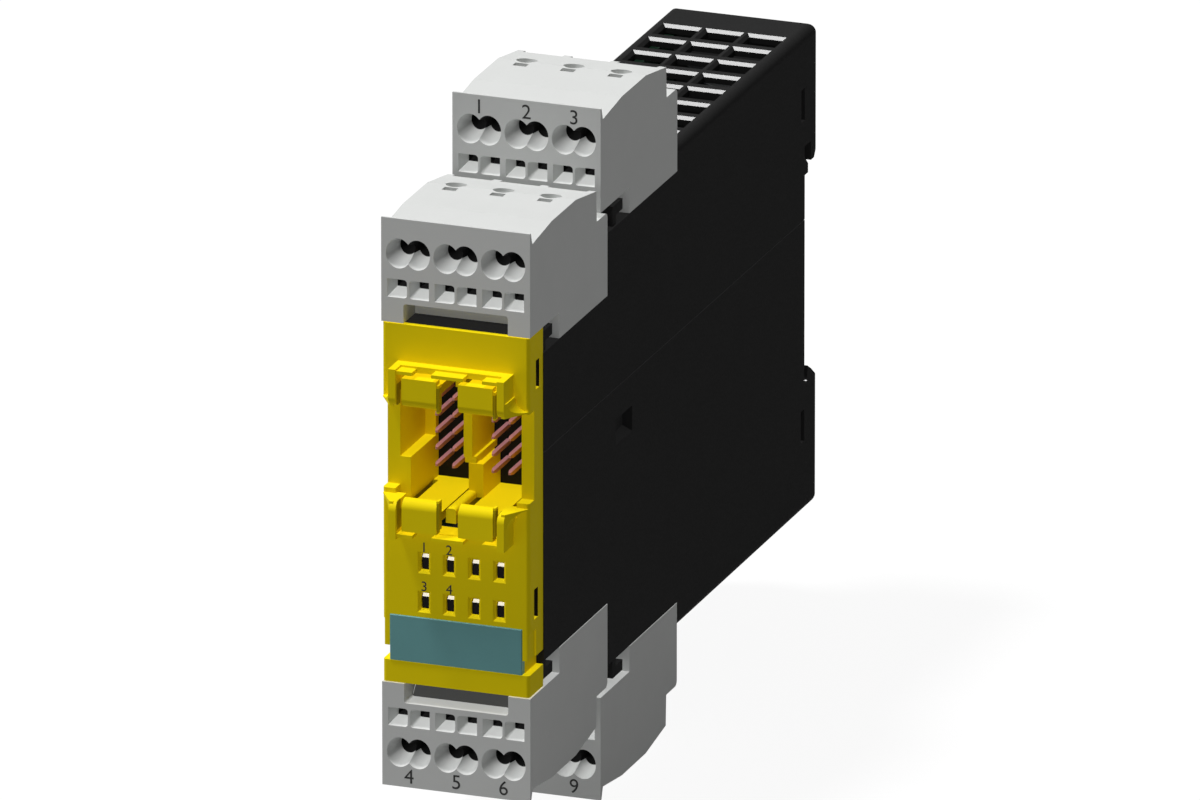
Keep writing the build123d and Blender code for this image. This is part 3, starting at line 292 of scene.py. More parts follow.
@dataclass(frozen=True)
class ChamferedFinish(Finish):
    """Moulded plastic whose slanted edge faces have a glossier shader of their own, whose colour can be a
    painted highlight.

    Attributes:
        polish_axis: The direction that these faces look to.
        polish_spread: How far a face may turn from it, as a cosine.
        polish_colour: Their colour, which on the smoked guides is a painted highlight.
        polish_roughness: Their roughness.
        polish_level: Their specular level.
    """

    polish_axis: Point = (0.0, -0.7071, 0.7071)
    polish_spread: float = 0.96
    polish_colour: Colour = (0.019, 0.019, 0.019)
    polish_roughness: float = 0.26
    polish_level: float = 0.65

    def make(self) -> Material:
        """Builds the material with its two surfaces."""
        graph = Graph(self.name)
        matt = self.shader(graph)
        gloss = graph.add("ShaderNodeBsdfPrincipled", Roughness=self.polish_roughness)
        # On the smoked guides this colour is near white: a painted highlight on the faces that look up to
        # the front.
        gloss.inputs["Base Color"].default_value = (*self.polish_colour, 1.0)
        gloss.inputs["Specular IOR Level"].default_value = self.polish_level
        facing = graph.add("ShaderNodeVectorMath", operation="DOT_PRODUCT")
        graph.link(graph.place.outputs["Normal"], facing.inputs[0])
        facing.inputs[1].default_value = self.polish_axis
        mask = graph.add("ShaderNodeMath", operation="GREATER_THAN")
        mask.inputs[1].default_value = self.polish_spread
        graph.link(facing.outputs["Value"], mask.inputs[0])
        both = graph.add("ShaderNodeMixShader")
        graph.link(mask.outputs["Value"], both.inputs[0])
        graph.link(matt.outputs["BSDF"], both.inputs[1])
        graph.link(gloss.outputs["BSDF"], both.inputs[2])
        return graph.close(both.outputs["Shader"])


@dataclass(frozen=True)
class Space:
    """A box inside which painted shade darkens a moulding.

    Attributes:
        low: The lowest corner, in metres.
        high: The highest corner, in metres.
        weight: How much of the painted shade shows there.
    """

    low: Point
    high: Point
    weight: float = 1.0

    def mask(self, graph: Graph, axes: bpy.types.Node) -> Socket:
        """Writes the box's mask.

        Args:
            graph: The material's node writer.
            axes: The node that gives the three coordinates.

        Returns:
            The weight inside the box and 0 outside.
        """
        mask = None
        for axis in range(3):
            inside = graph.add("ShaderNodeMath", operation="COMPARE")
            graph.link(axes.outputs[axis], inside.inputs[0])
            inside.inputs[1].default_value = (self.low[axis] + self.high[axis]) / 2
            inside.inputs[2].default_value = (self.high[axis] - self.low[axis]) / 2
            both = graph.add("ShaderNodeMath", operation="MULTIPLY")
            both.inputs[0].default_value = self.weight
            if mask is not None:
                graph.link(mask, both.inputs[0])
            graph.link(inside.outputs[0], both.inputs[1])
            mask = both.outputs[0]
        return mask


@dataclass(frozen=True)
class LinedFinish(Finish):
    """Moulded plastic with painted shade in some spaces, such as the bores behind the wire entries.

    Attributes:
        lining: The painted shade's linear colour.
        spaces: The spaces with painted shade.
    """

    # Painted shade: the dark colour laid over the masked spaces, which lie in shade.
    lining: Colour = (0.010, 0.010, 0.010)
    spaces: tuple[Space, ...] = ()

    def base_colour(self, graph: Graph) -> Socket:
        """Writes the clouded colour with the painted shade over it and returns it."""
        axes = graph.add("ShaderNodeSeparateXYZ")
        graph.link(graph.place.outputs["Object"], axes.inputs[0])
        mask = None
        for space in self.spaces:
            part = space.mask(graph, axes)
            if mask is not None:
                either = graph.add("ShaderNodeMath", operation="MAXIMUM")
                graph.link(mask, either.inputs[0])
                graph.link(part, either.inputs[1])
                part = either.outputs[0]
            mask = part
        # Painted shade: the boxes' mask takes the clouded colour towards the shade colour.
        mix = graph.add("ShaderNodeMix", data_type="RGBA")
        graph.link(mask, mix.inputs[0])
        graph.link(super().base_colour(graph), mix.inputs[MIX_A])
        mix.inputs[MIX_B].default_value = (*self.lining, 1.0)
        return mix.outputs[MIX_RESULT]


BLACK_SHELL = ChamferedFinish("black_shell", (0.019, 0.019, 0.019), 0.7, 0.01, grain=0.0004)
YELLOW_SHELL = Finish("yellow_shell", (0.88, 0.70, 0.005), 0.6, 0.02, mottle=0.012, grain=0.0004)
TEAL_SHEET = Finish("teal_sheet", (0.148, 0.352, 0.360), 0.5, 0.1, mottle=0.02)
GREY_SHELL = Finish("grey_shell", (0.63, 0.64, 0.63), 0.6, 0.04, mottle=0.012, grain=0.0004)
BLACK_MOULDING = Finish("black_moulding", (0.014, 0.014, 0.015), 0.6, 0.03)
COPPER_PIN = Finish(
    "copper_pin", (0.50, 0.225, 0.255), 0.5, 0.3, 0.2,
    mottle=0.04, mottle_size=0.002, grain=0.0002, stretch=(1, 0.1, 1),
)
# The smoked guides' slanted faces are painted near white, a painted highlight.
SMOKED_GUIDE = ChamferedFinish(
    "smoked_guide", (0.012, 0.011, 0.013), 0.5, 0.05,
    polish_colour=(0.86, 0.86, 0.86), polish_roughness=0.4, polish_level=0.5,
)
INDICATOR_RESIN = Finish("indicator_resin", (0.72, 0.66, 0.42), 0.35, 0.5, mottle=0.05, mottle_size=0.001)
BOARD_LAMINATE = Finish("board_laminate", (0.006, 0.026, 0.013), 0.4, 0.4, mottle=0.12, mottle_size=0.004)
CHIP_EPOXY = Finish("chip_epoxy", (0.02, 0.02, 0.022), 0.55, 0.3, mottle=0.1, mottle_size=0.003)
CAN_SLEEVE = Finish("can_sleeve", (0.02, 0.025, 0.05), 0.3, 0.5, mottle=0.05)
CAN_TOP = Finish("can_top", (0.75, 0.75, 0.76), 0.3, 0.5, 1.0, mottle=0.03, grain=0.0003)
FERRITE_CORE = Finish("ferrite_core", (0.07, 0.07, 0.075), 0.7, 0.2, mottle=0.15, mottle_size=0.0015)
COIL_TAPE = Finish("coil_tape", (0.55, 0.36, 0.03), 0.4, 0.4, mottle=0.08, mottle_size=0.002)
COIL_WIRE = Finish("coil_wire", (0.55, 0.22, 0.09), 0.3, 0.5, 1.0, mottle=0.06, mottle_size=0.002)
SPRING_STEEL = Finish(
    "spring_steel", (0.56, 0.57, 0.58), 0.34, 0.5, 1.0, mottle=0.05, grain=0.00015, stretch=(0.1, 1, 1)
)
TINNED_COPPER = Finish("tinned_copper", (0.70, 0.70, 0.68), 0.36, 0.5, 1.0, mottle=0.07, mottle_size=0.002)
SLIDER_NYLON = Finish("slider_nylon", (0.026, 0.026, 0.027), 0.55, 0.15)
PRINT_INK = Finish(
    "print_ink", (0.045, 0.045, 0.045), 0.6, 0.1, mottle=0.15, mottle_size=0.0006, grain=0.0001
)

# The finish of each node, by how its name starts. Blocks and cover have their own, with painted shade.
FINISHES: dict[str, Finish] = {
    "housing": BLACK_SHELL,
    "label_plate": TEAL_SHEET,
    "header": BLACK_MOULDING,
    "pins": COPPER_PIN,
    "light_guides": SMOKED_GUIDE,
    "indicators": INDICATOR_RESIN,
    "front_board": BOARD_LAMINATE,
    "main_board": BOARD_LAMINATE,
    "power_board": BOARD_LAMINATE,
    "microcontrollers": CHIP_EPOXY,
    "capacitors": CAN_SLEEVE,
    "output_switches": CHIP_EPOXY,
    "transformer_core": FERRITE_CORE,
    "transformer_coil": COIL_TAPE,
    "board_link": BLACK_MOULDING,
    "rail_slider": SLIDER_NYLON,
    "slider_spring": SPRING_STEEL,
    "terminal_base": GREY_SHELL,
    "contacts": TINNED_COPPER,
    "clamp_springs": SPRING_STEEL,
    "plug_tabs": TINNED_COPPER,
    "tab_carrier": BLACK_MOULDING,
}

# A digit's height as a share of the letter size.
DIGIT_SHARE = 0.62

# Terminal blocks, in millimetres: depths from the front face, drops from the block's outer end.
POLE_PITCH = 7.19
NUMBER_DROP = 1.7
# Painted shade in the bores behind the entries and at the key's height: start depth, drops, half width.
BORE_SHADE_START = 4.15
BORE_SHADE_DROPS = (2.9, 12.6)
BORE_SHADE_HALF_WIDTH = 10.9
REAR_WALL = 1.6
KEY_DROP = 10.5
KEY_SHADE_START = 2.85
KEY_SHADE_REACH = (-1.4, 1.6)
ENTRY_DROP = 5.2
WEB_HALF_WIDTH = 2.2
# Where painted shade darkens the web between paired entries: first depth, then reach from the entries'
# middle.
WEB_SHADES = ((0.2, (0.3, 2.2)), (1.8, (-0.6, 0.3)))
# Painted shadow on the lower blocks' notch wall: width, depths, drops and its weight.
NOTCH_WIDTH = (-7.85, 7.85)
NOTCH_DEPTHS = (3.3, 5.0)
NOTCH_DROPS = (12.6, 15.65)
NOTCH_SHADE_WEIGHT = 0.9

# Front cover, in millimetres: depths from its face, widths and heights from the module's middle.
COVER_FACE = -114.8
WINDOW_FIRST = -4.84
WINDOW_PITCH = 3.803
WINDOW_NUMBER_SIZE = 1.3
UPPER_NUMBER_HEIGHT = -6.15
LOWER_NUMBER_HEIGHT = -12.05
# Painted shade inside the snap windows: depths, heights, and the width from SNAP_INSIDE to SNAP_START.
SNAP_DEPTHS = ((4.2, 4.4), (3.6, 3.8))
SNAP_HEIGHTS = ((18.5, 23.0), (-15.9, -11.2))
SNAP_START = 11.05
SNAP_INSIDE = 5.8
ARM_CENTRE = 4.27
ARM_SLOTS = ((-3.52, -2.58), (2.58, 3.52))
# Depths and heights of the shade on the arms' sides, for each lip and the slot behind it.
ARM_SHADES = (
    ((-3.45, -1.9), (-2.78, 1.85)),
    ((-1.9, 11.4), (-2.78, -0.02)),
    ((-3.45, -1.9), (15.6, 19.12)),
    ((-1.9, 11.4), (17.82, 19.12)),
)
ARM_SHADE_WEIGHT = 0.5

# Rows of chip resistors on the side boards: first depth, height and count.
RIGHT_ROWS = ((-53.0, 15.0, 3), (-53.0, -15.0, 3), (-30.0, 8.0, 3), (-30.0, -8.0, 3))
LEFT_ROWS = ((-70.0, 12.0, 6), (-70.0, 0.0, 6), (-70.0, -12.0, 6))


def lined(plain: Finish, name: str, spaces: Iterable[Space]) -> LinedFinish:
    """Copies a plain finish with spaces of painted shade.

    Args:
        plain: The plain finish.
        name: The new finish's name.
        spaces: The spaces with painted shade.

    Returns:
        The finish with painted shade.
    """
    values = {key: getattr(plain, key) for key in plain.__dataclass_fields__}
    return LinedFinish(**{**values, "name": name}, spaces=tuple(spaces))


def space(x: Span, y: Span, z: Span, weight: float = 1.0) -> Space:
    """Plans a space of painted shade from three ranges.

    Args:
        x: The range across the width, in any order.
        y: The range of depths.
        z: The range of heights.
        weight: How much of the painted shade shows there.

    Returns:
        The space.
    """
    low, high = zip(*(sorted(span) for span in (x, y, z)))
    return Space(tuple(v * MM for v in low), tuple(v * MM for v in high), weight)


def lined_block(name: str) -> LinedFinish:
    """Fits painted shade to the bores and other hollows of one terminal block.

    Args:
        name: The block's node.

    Returns:
        The finish of that block.
    """
    low, high = (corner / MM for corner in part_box(name))
    lip, way = (high.z, -1) if "upper" in name else (low.z, 1)
    wide = (-BORE_SHADE_HALF_WIDTH, BORE_SHADE_HALF_WIDTH)
    entry, key = lip + way * ENTRY_DROP, lip + way * KEY_DROP
    near, far = (lip + way * drop for drop in BORE_SHADE_DROPS)
    spaces = [
        space(wide, (low.y + BORE_SHADE_START, high.y - REAR_WALL), (near, far)),
        space(
            wide,
            (low.y + KEY_SHADE_START, low.y + BORE_SHADE_START),
            tuple(key + reach for reach in KEY_SHADE_REACH),
        ),
    ]
    for pole in (-POLE_PITCH, 0, POLE_PITCH):
        across = (pole - WEB_HALF_WIDTH, pole + WEB_HALF_WIDTH)
        for start, reaches in WEB_SHADES:
            heights = tuple(entry + reach for reach in reaches)
            spaces.append(space(across, (low.y + start, low.y + BORE_SHADE_START), heights))
    # Painted shadow on the lower blocks' notch wall, under the cover's overhang.
    if "lower" in name:
        heights = tuple(lip + way * drop for drop in NOTCH_DROPS)
        depths = tuple(low.y + depth for depth in NOTCH_DEPTHS)
        spaces.append(space(NOTCH_WIDTH, depths, heights, NOTCH_SHADE_WEIGHT))
    return lined(GREY_SHELL, f"grey_{name}", spaces)


def lined_cover() -> LinedFinish:
    """Fits painted shade to the snap windows and the slots beside the latch arms."""
    spaces = []
    for depths, heights in zip(SNAP_DEPTHS, SNAP_HEIGHTS):
        rear = tuple(COVER_FACE + depth for depth in depths)
        for side in (-1, 1):
            spaces.append(space((side * SNAP_INSIDE, side * SNAP_START), rear, heights))
    for depths, heights in ARM_SHADES:
        reach = tuple(COVER_FACE + depth for depth in depths)
        for middle in (-ARM_CENTRE, ARM_CENTRE):
            for near, far in ARM_SLOTS:
                spaces.append(space((middle + near, middle + far), reach, heights, ARM_SHADE_WEIGHT))
    return lined(YELLOW_SHELL, "yellow_front_cover", spaces)


def finish_of(name: str) -> Finish:
    """Chooses a node's finish.

    Args:
        name: The node's name.

    Returns:
        Its finish.

    Raises:
        ValueError: If no finish is chosen for such a name.
    """
    if name == "front_cover":
        return lined_cover()
    if name.startswith("terminal_block"):
        return lined_block(name)
    for stem, finish in FINISHES.items():
        if name.startswith(stem):
            return finish
    raise ValueError(f"no finish is chosen for the node {name}")


class PaintShop:
    """Makes each finish once and puts it on nodes and pieces."""

    def __init__(self) -> None:
        """Starts with no material made."""
        self.made: dict[str, Material] = {}

    def material(self, finish: Finish) -> Material:
        """Returns the finish's material, made at its first use."""
        if finish.name not in self.made:
            self.made[finish.name] = finish.make()
        return self.made[finish.name]

    def paint(self, piece: Piece, finish: Finish) -> None:
        """Gives a piece one finish all over.

        Args:
            piece: The node or new piece.
            finish: The finish.
        """
        material = self.material(finish)
        if not piece.data.materials:
            piece.data.materials.append(material)
        for index in range(len(piece.material_slots)):
            piece.material_slots[index].material = material

    def paint_nodes(self) -> None:
        """Gives every carried-over node its finish."""
        for name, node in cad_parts.items():
            self.paint(node, finish_of(name))
        LOG.info("painted %d nodes", len(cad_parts))


# Modelling


def clear_selection() -> None:
    """Leaves edit mode and deselects everything."""
    if bpy.context.object is not None and bpy.context.object.mode != "OBJECT":
        bpy.ops.object.mode_set(mode="OBJECT")
    bpy.ops.object.select_all(action="DESELECT")


def settle(piece: Piece, name: str) -> Piece:
    """Names a new piece and puts its place, turn and size into its mesh.

    Args:
        piece: The new piece.
        name: Its name.

    Returns:
        The piece.
    """
    clear_selection()
    piece.name = name
    piece.select_set(True)
    bpy.context.view_layer.objects.active = piece
    bpy.ops.object.transform_apply(location=True, rotation=True, scale=True)
    return piece


def start_box(name: str, low: Point, high: Point) -> Piece:
    """Starts a piece as a box between two corners.

    Args:
        name: The piece's name.
        low: The lowest corner.
        high: The highest corner.

    Returns:
        The piece.
    """
    clear_selection()
    bpy.ops.mesh.primitive_cube_add(size=1, location=[(a + b) / 2 * MM for a, b in zip(low, high)])
    piece = bpy.context.active_object
    piece.scale = [(b - a) * MM for a, b in zip(low, high)]
    return settle(piece, name)


def start_round(name: str, radius: float, length: float) -> Piece:
    """Starts a piece as a round bar across the width, about the origin.

    Args:
        name: The piece's name.
        radius: The radius.
        length: The length.

    Returns:
        The piece.
    """
    clear_selection()
    bpy.ops.mesh.primitive_cylinder_add(
        vertices=ROUND_SIDES, radius=radius * MM, depth=length * MM, rotation=(0, math.pi / 2, 0)
    )
    return settle(bpy.context.active_object, name)


def select_faces(piece: Piece, test: Test) -> None:
    """Opens a piece in edit mode with the faces that pass a test selected.

    Args:
        piece: The piece.
        test: Takes a face's centre, in millimetres, and its normal.
    """
    clear_selection()
    piece.select_set(True)
    bpy.context.view_layer.objects.active = piece
    bpy.context.tool_settings.mesh_select_mode = (False, False, True)
    mesh = piece.data
    for item in (*mesh.vertices, *mesh.edges):
        item.select = False
    for face in mesh.polygons:
        face.select = test(face.center / MM, face.normal)
    bpy.ops.object.mode_set(mode="EDIT")


def push_faces(shift: Point) -> None:
    """Extrudes the selected faces by a shift in millimetres."""
    bpy.ops.mesh.extrude_region_move(TRANSFORM_OT_translate={"value": [s * MM for s in shift]})


def round_edges(piece: Piece, width: float, segments: int = 2) -> None:
    """Bevels a piece's sharp edges with a modifier and smooths it.

    Args:
        piece: The piece.
        width: The bevel's width.
        segments: How many strips make the bevel.
    """
    clear_selection()
    piece.select_set(True)
    bpy.context.view_layer.objects.active = piece
    bevel = piece.modifiers.new("edges", "BEVEL")
    bevel.width = width * MM
    bevel.segments = segments
    bevel.limit_method = "ANGLE"
    bpy.ops.object.modifier_apply(modifier=bevel.name)
    bpy.ops.object.shade_smooth_by_angle(angle=math.radians(SMOOTH_ANGLE))


def repeat(piece: Piece, places: Iterable[Point], turns: Iterable[float] = ()) -> Piece:
    """Copies a piece to several places, each copy with its own mesh, and joins the copies to one.

    Args:
        piece: The piece as modelled once, at the origin.
        places: Where the copies go.
        turns: How far each copy is turned about the width, in degrees, or nothing.

    Returns:
        The joined piece, which keeps the name.
    """
    spots = list(places)
    angles = list(turns) or [0.0] * len(spots)
    copies = []
    for spot, angle in zip(spots, angles):
        twin = piece.copy()
        twin.data = piece.data.copy()
        turned = Matrix.Rotation(math.radians(angle), 4, "X")
        twin.data.transform(Matrix.Translation(Vector(spot) * MM) @ turned)
        bpy.context.scene.collection.objects.link(twin)
        copies.append(twin)
    name = piece.name
    bpy.data.objects.remove(piece)
    clear_selection()
    for twin in copies:
        twin.select_set(True)
    bpy.context.view_layer.objects.active = copies[0]
    bpy.ops.object.join()
    copies[0].name = name
    return copies[0]


@dataclass
class SubAssembly:
    """New pieces that ride on one body and share a paint shop.

    Attributes:
        shop: The paint shop.
        body: The body that the pieces ride on.
    """

    shop: PaintShop
    body: Body = Body.MODULE

    def dress(self, piece: Piece, finish: Finish, slot: Slot) -> None:
        """Paints a finished piece and ties it to the body.

        Args:
            piece: The finished piece.
            finish: Its finish.
            slot: The material slot named for it; not used.
        """
        self.shop.paint(piece, finish)
        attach(piece, self.body.value)
        LOG.info("%s: %d faces", piece.name, len(piece.data.polygons))


@dataclass
class PrintedNumbers(SubAssembly):
    """Plain numbers printed in one row on a flat face that looks to the front.

    Attributes:
        name: The row's name.
        first: The first number.
        count: How many numbers there are.
        pitch: The distance between two numbers.
        start: The first number's middle.
        height: The numbers' height.
        slot: The slot of the face under them.
        film: The ink's thickness.
    """

    name: str = "numbers"
    first: int = 1
    count: int = 3
    pitch: float = POLE_PITCH
    start: Point = (0.0, 0.0, 0.0)
    height: float = 1.9
    slot: Slot = Slot.BLOCK
    film: float = 0.02

    def number(self, value: int, place: Vector) -> Piece:
        """Prints one number.

        Args:
            value: The number.
            place: Its middle.

        Returns:
            The number as a mesh.
        """
        clear_selection()
        bpy.ops.object.text_add(location=(0, 0, 0))
        line = bpy.context.active_object
        line.data.body = str(value)
        line.data.align_x, line.data.align_y = "CENTER", "CENTER"
        line.data.size = self.height * MM / DIGIT_SHARE
        line.data.extrude = self.film * MM / 2
        bpy.ops.object.convert(target="MESH")
        piece = settle(bpy.context.active_object, f"{self.name}_{value}")
        corners = [Vector(v.co) for v in piece.data.vertices]
        spans = [[corner[axis] for corner in corners] for axis in range(3)]
        middle = Vector([(min(span) + max(span)) / 2 for span in spans])
        upright = Matrix.Rotation(math.pi / 2, 4, "X")
        piece.data.transform(Matrix.Translation(place * MM) @ upright @ Matrix.Translation(-middle))
        return piece

    def build(self) -> None:
        """Prints the row."""
        for step in range(self.count):
            place = Vector(self.start) + Vector((step * self.pitch, -self.film / 2, 0))
            self.dress(self.number(self.first + step, place), PRINT_INK, self.slot)


@dataclass
class ChipLeads(SubAssembly):
    """Bent leads round the square chips on the right board.

    Attributes:
        centres: The chips' centres as depth and height in the frame.
        board: The board's face, in millimetres from the middle.
        half: Half a chip's side.
        pitch: The distance between two leads.
        per_side: How many leads each side has.
        width: A lead's width.
        thickness: A lead's thickness.
        top: Where a lead's root stands from the board's face.
        root: Where it starts and ends from the chip's side.
        bends: The shifts that draw the lead on from there.
    """

    centres: tuple[Span, ...] = ((-40.8, 9.0), (-40.8, -9.0))
    board: float = 8.2
    half: float = 5.0
    pitch: float = 0.8
    per_side: int = 11
    width: float = 0.32
    thickness: float = 0.14
    top: float = -0.62
    root: Span = (-0.1, 0.35)
    bends: tuple[Point, ...] = ((0.14, 0.12, 0), (0.16, 0.1, 0), (0.0, 0.32, 0))

    def lead(self) -> Piece:
        """Bends one lead out of a chip's side and down to its pad."""
        half, (near, far) = self.width / 2, self.root
        piece = start_box("chip_leads", (self.top, near, -half), (self.top + self.thickness, far, half))
        select_faces(piece, lambda centre, normal: normal.y > FACING)
        for shift in self.bends:
            push_faces(shift)
        bpy.ops.object.mode_set(mode="OBJECT")
        return piece

    def build(self) -> None:
        """Sets the leads round both chips."""
        rows = [(step - (self.per_side - 1) / 2) * self.pitch for step in range(self.per_side)]
        places, turns = [], []
        for depth, height in self.centres:
            for turn in (0, 90, 180, 270):
                out = Vector((0, math.cos(math.radians(turn)), math.sin(math.radians(turn))))
                along = Vector((0, -out.z, out.y))
                side = Vector((self.board, depth, height)) + out * self.half
                for row in rows:
                    places.append(tuple(side + along * row))
                    turns.append(turn)
        self.dress(repeat(self.lead(), places, turns), TINNED_COPPER, Slot.COPPER)


@dataclass
class CapacitorLids(SubAssembly):
    """Dished metal lids with a scored cross on the round capacitors.

    Attributes:
        centres: The capacitors' centres as depth and height in the frame.
        face: The cans' ends, in millimetres from the middle.
        radius: A lid's radius.
        rim: The rim's width.
        thickness: The lid's thickness.
        dish: How deep the dish lies under the rim.
        margin: The flat ring between the rim and the quarters.
        score: Half the width of the scored cross.
        swell: How far the quarters rise.
        lift: How far a lid's middle stands off its can.
    """

    centres: tuple[Span, ...] = ((-44.8, 20.0), (-34.8, 20.0), (-24.8, 20.0))
    face: float = 2.3
    radius: float = 3.45
    rim: float = 0.4
    thickness: float = 0.14
    dish: float = 0.08
    margin: float = 0.25
    score: float = 0.1
    swell: float = 0.05
    lift: float = 0.03

    def lid(self) -> Piece:
        """Shapes one lid with its dish and its four raised quarters."""
        piece = start_round("capacitor_lids", self.radius, self.thickness)
        select_faces(piece, lambda centre, normal: normal.x > FACING)
        bpy.ops.mesh.inset(thickness=self.rim * MM)
        push_faces((-self.dish, 0, 0))
        bpy.ops.mesh.inset(thickness=self.margin * MM)
        for side in (-self.score, self.score):
            for normal in ((0, 1, 0), (0, 0, 1)):
                bpy.ops.mesh.select_all(action="SELECT")
                bpy.ops.mesh.bisect(plane_co=[side * MM * n for n in normal], plane_no=normal)
        bpy.ops.object.mode_set(mode="OBJECT")
        reach = self.radius - self.rim - self.margin
        floor = self.thickness / 2 - self.dish

        def quarter(centre: Vector, normal: Vector) -> bool:
            """True for the dish's four quarters between the score lines."""
            inner = math.hypot(centre.y, centre.z) < reach and abs(centre.x - floor) < self.dish / 4
            return normal.x > FACING and inner and min(abs(centre.y), abs(centre.z)) > self.score

        select_faces(piece, quarter)
        push_faces((self.swell, 0, 0))
        bpy.ops.object.mode_set(mode="OBJECT")
        return piece

    def build(self) -> None:
        """Sets a lid on each can."""
        places = [(self.face + self.lift, depth, height) for depth, height in self.centres]
        self.dress(repeat(self.lid(), places), CAN_TOP, Slot.CAN)


@dataclass
class CoilWindings(SubAssembly):
    """Turns of enamelled wire on the transformer's coil.

    Attributes:
        centre: The coil's middle.
        length: How long the winding is.
        radius: The middle of the wire, from the coil's axis.
        wire: The wire's radius.
        turns: How many turns show.
    """

    centre: Point = (-2.7, -32.8, -16.0)
    length: float = 5.6
    radius: float = 6.08
    wire: float = 0.19
    turns: int = 15

    def build(self) -> None:
        """Winds the wire."""
        clear_selection()
        bpy.ops.mesh.primitive_torus_add(
            major_radius=self.radius * MM, minor_radius=self.wire * MM, major_segments=48, minor_segments=8,
            rotation=(0, math.pi / 2, 0),
        )
        turn = settle(bpy.context.active_object, "coil_windings")
        bpy.ops.object.shade_smooth()
        step = self.length / (self.turns - 1)
        start = self.centre[0] - self.length / 2
        places = [(start + row * step, *self.centre[1:]) for row in range(self.turns)]
        self.dress(repeat(turn, places), COIL_WIRE, Slot.TAPE)


@dataclass
class BoardParts(SubAssembly):
    """Rows of small chip resistors on one side board.

    Attributes:
        side: 1 for the right board and -1 for the left board.
        face: The board's face, in millimetres from the middle.
        rows: Each row's first depth, its height and its count, in the frame.
        pitch: The distance between two parts.
        lift: How far a part's middle stands off the board.
        chip: Half a resistor's thickness, width and length.
        window: How wide the frame round its printed top is.
        print_rise: How far the printed top rises.
        cap: The same for the soldered ends.
        cap_start: Where a soldered end starts from the middle.
        fillet: The shift of the solder's foot, inwards and outwards.
        chip_edge: The bevel of a resistor.
        cap_edge: The bevel of a soldered end.
    """

    side: int = 1
    face: float = 8.2
    rows: tuple[tuple[float, float, int], ...] = ()
    pitch: float = 2.4
    lift: float = 0.25
    chip: Point = (0.22, 0.35, 0.8)
    window: float = 0.08
    print_rise: float = 0.03
    cap: Point = (0.24, 0.37, 0.82)
    cap_start: float = 0.55
    fillet: Span = (0.1, 0.18)
    chip_edge: float = 0.04
    cap_edge: float = 0.05

    def build(self) -> None:
        """Sets the bodies and their soldered ends."""
        word = "right" if self.side > 0 else "left"
        places = [
            (self.side * (self.face - self.lift), depth + step * self.pitch, height)
            for depth, height, count in self.rows
            for step in range(count)
        ]
        chip = start_box(f"chip_resistors_{word}", tuple(-half for half in self.chip), self.chip)
        select_faces(chip, lambda centre, normal: normal.x * self.side < -FACING)
        bpy.ops.mesh.inset(thickness=self.window * MM)
        push_faces((-self.print_rise * self.side, 0, 0))
        bpy.ops.object.mode_set(mode="OBJECT")
        round_edges(chip, self.chip_edge, segments=1)
        cap = start_box(
            f"resistor_ends_{word}", tuple(-half for half in self.cap), (*self.cap[:2], -self.cap_start)
        )
        select_faces(cap, lambda centre, normal: normal.z < -FACING)
        inwards, outwards = self.fillet
        push_faces((inwards * self.side, 0, -outwards))
        bpy.ops.object.mode_set(mode="OBJECT")
        round_edges(cap, self.cap_edge)
        spots = [(x, y, z) for x, y, z in places for _ in range(2)]
        ends = repeat(cap, spots, [0.0, 180.0] * len(places))
        self.dress(repeat(chip, places), CHIP_EPOXY, Slot.EPOXY)
        self.dress(ends, TINNED_COPPER, Slot.COPPER)


@dataclass
class SolderJoints(SubAssembly):
    """Solder cones round the pins behind the front board.

    Attributes:
        back: The board's back.
        columns: The pins' columns, in millimetres from the middle.
        top: The highest pin's height.
        pitch: The distance between two pins.
        rows: How many pins each column has.
        foot: A cone's radius at the board.
        tip: Its radius at the tip.
        height: Its height.
        pin_margin: The ring round the pin's end.
        pin_rise: How far the pin's end rises.
        edge: The bevel that rounds the cone.
    """

    back: float = -97.5
    columns: tuple[float, ...] = (-5.54, -3.0, 3.0, 5.54)
    top: float = 14.0
    pitch: float = 2.54
    rows: int = 5
    foot: float = 0.85
    tip: float = 0.42
    height: float = 0.7
    pin_margin: float = 0.06
    pin_rise: float = 0.12
    edge: float = 0.12

    def build(self) -> None:
        """Sets one cone at each pin."""
        clear_selection()
        bpy.ops.mesh.primitive_cone_add(
            vertices=20, radius1=self.foot * MM, radius2=self.tip * MM, depth=self.height * MM,
            rotation=(-math.pi / 2, 0, 0),
        )
        cone = settle(bpy.context.active_object, "solder_joints")
        select_faces(cone, lambda centre, normal: normal.y > FACING)
        bpy.ops.mesh.inset(thickness=self.pin_margin * MM)
        push_faces((0, self.pin_rise, 0))
        bpy.ops.object.mode_set(mode="OBJECT")
        round_edges(cone, self.edge)
        middle = self.back + self.height / 2
        places = [(x, middle, self.top - row * self.pitch) for x in self.columns for row in range(self.rows)]
        self.dress(repeat(cone, places), TINNED_COPPER, Slot.COPPER)


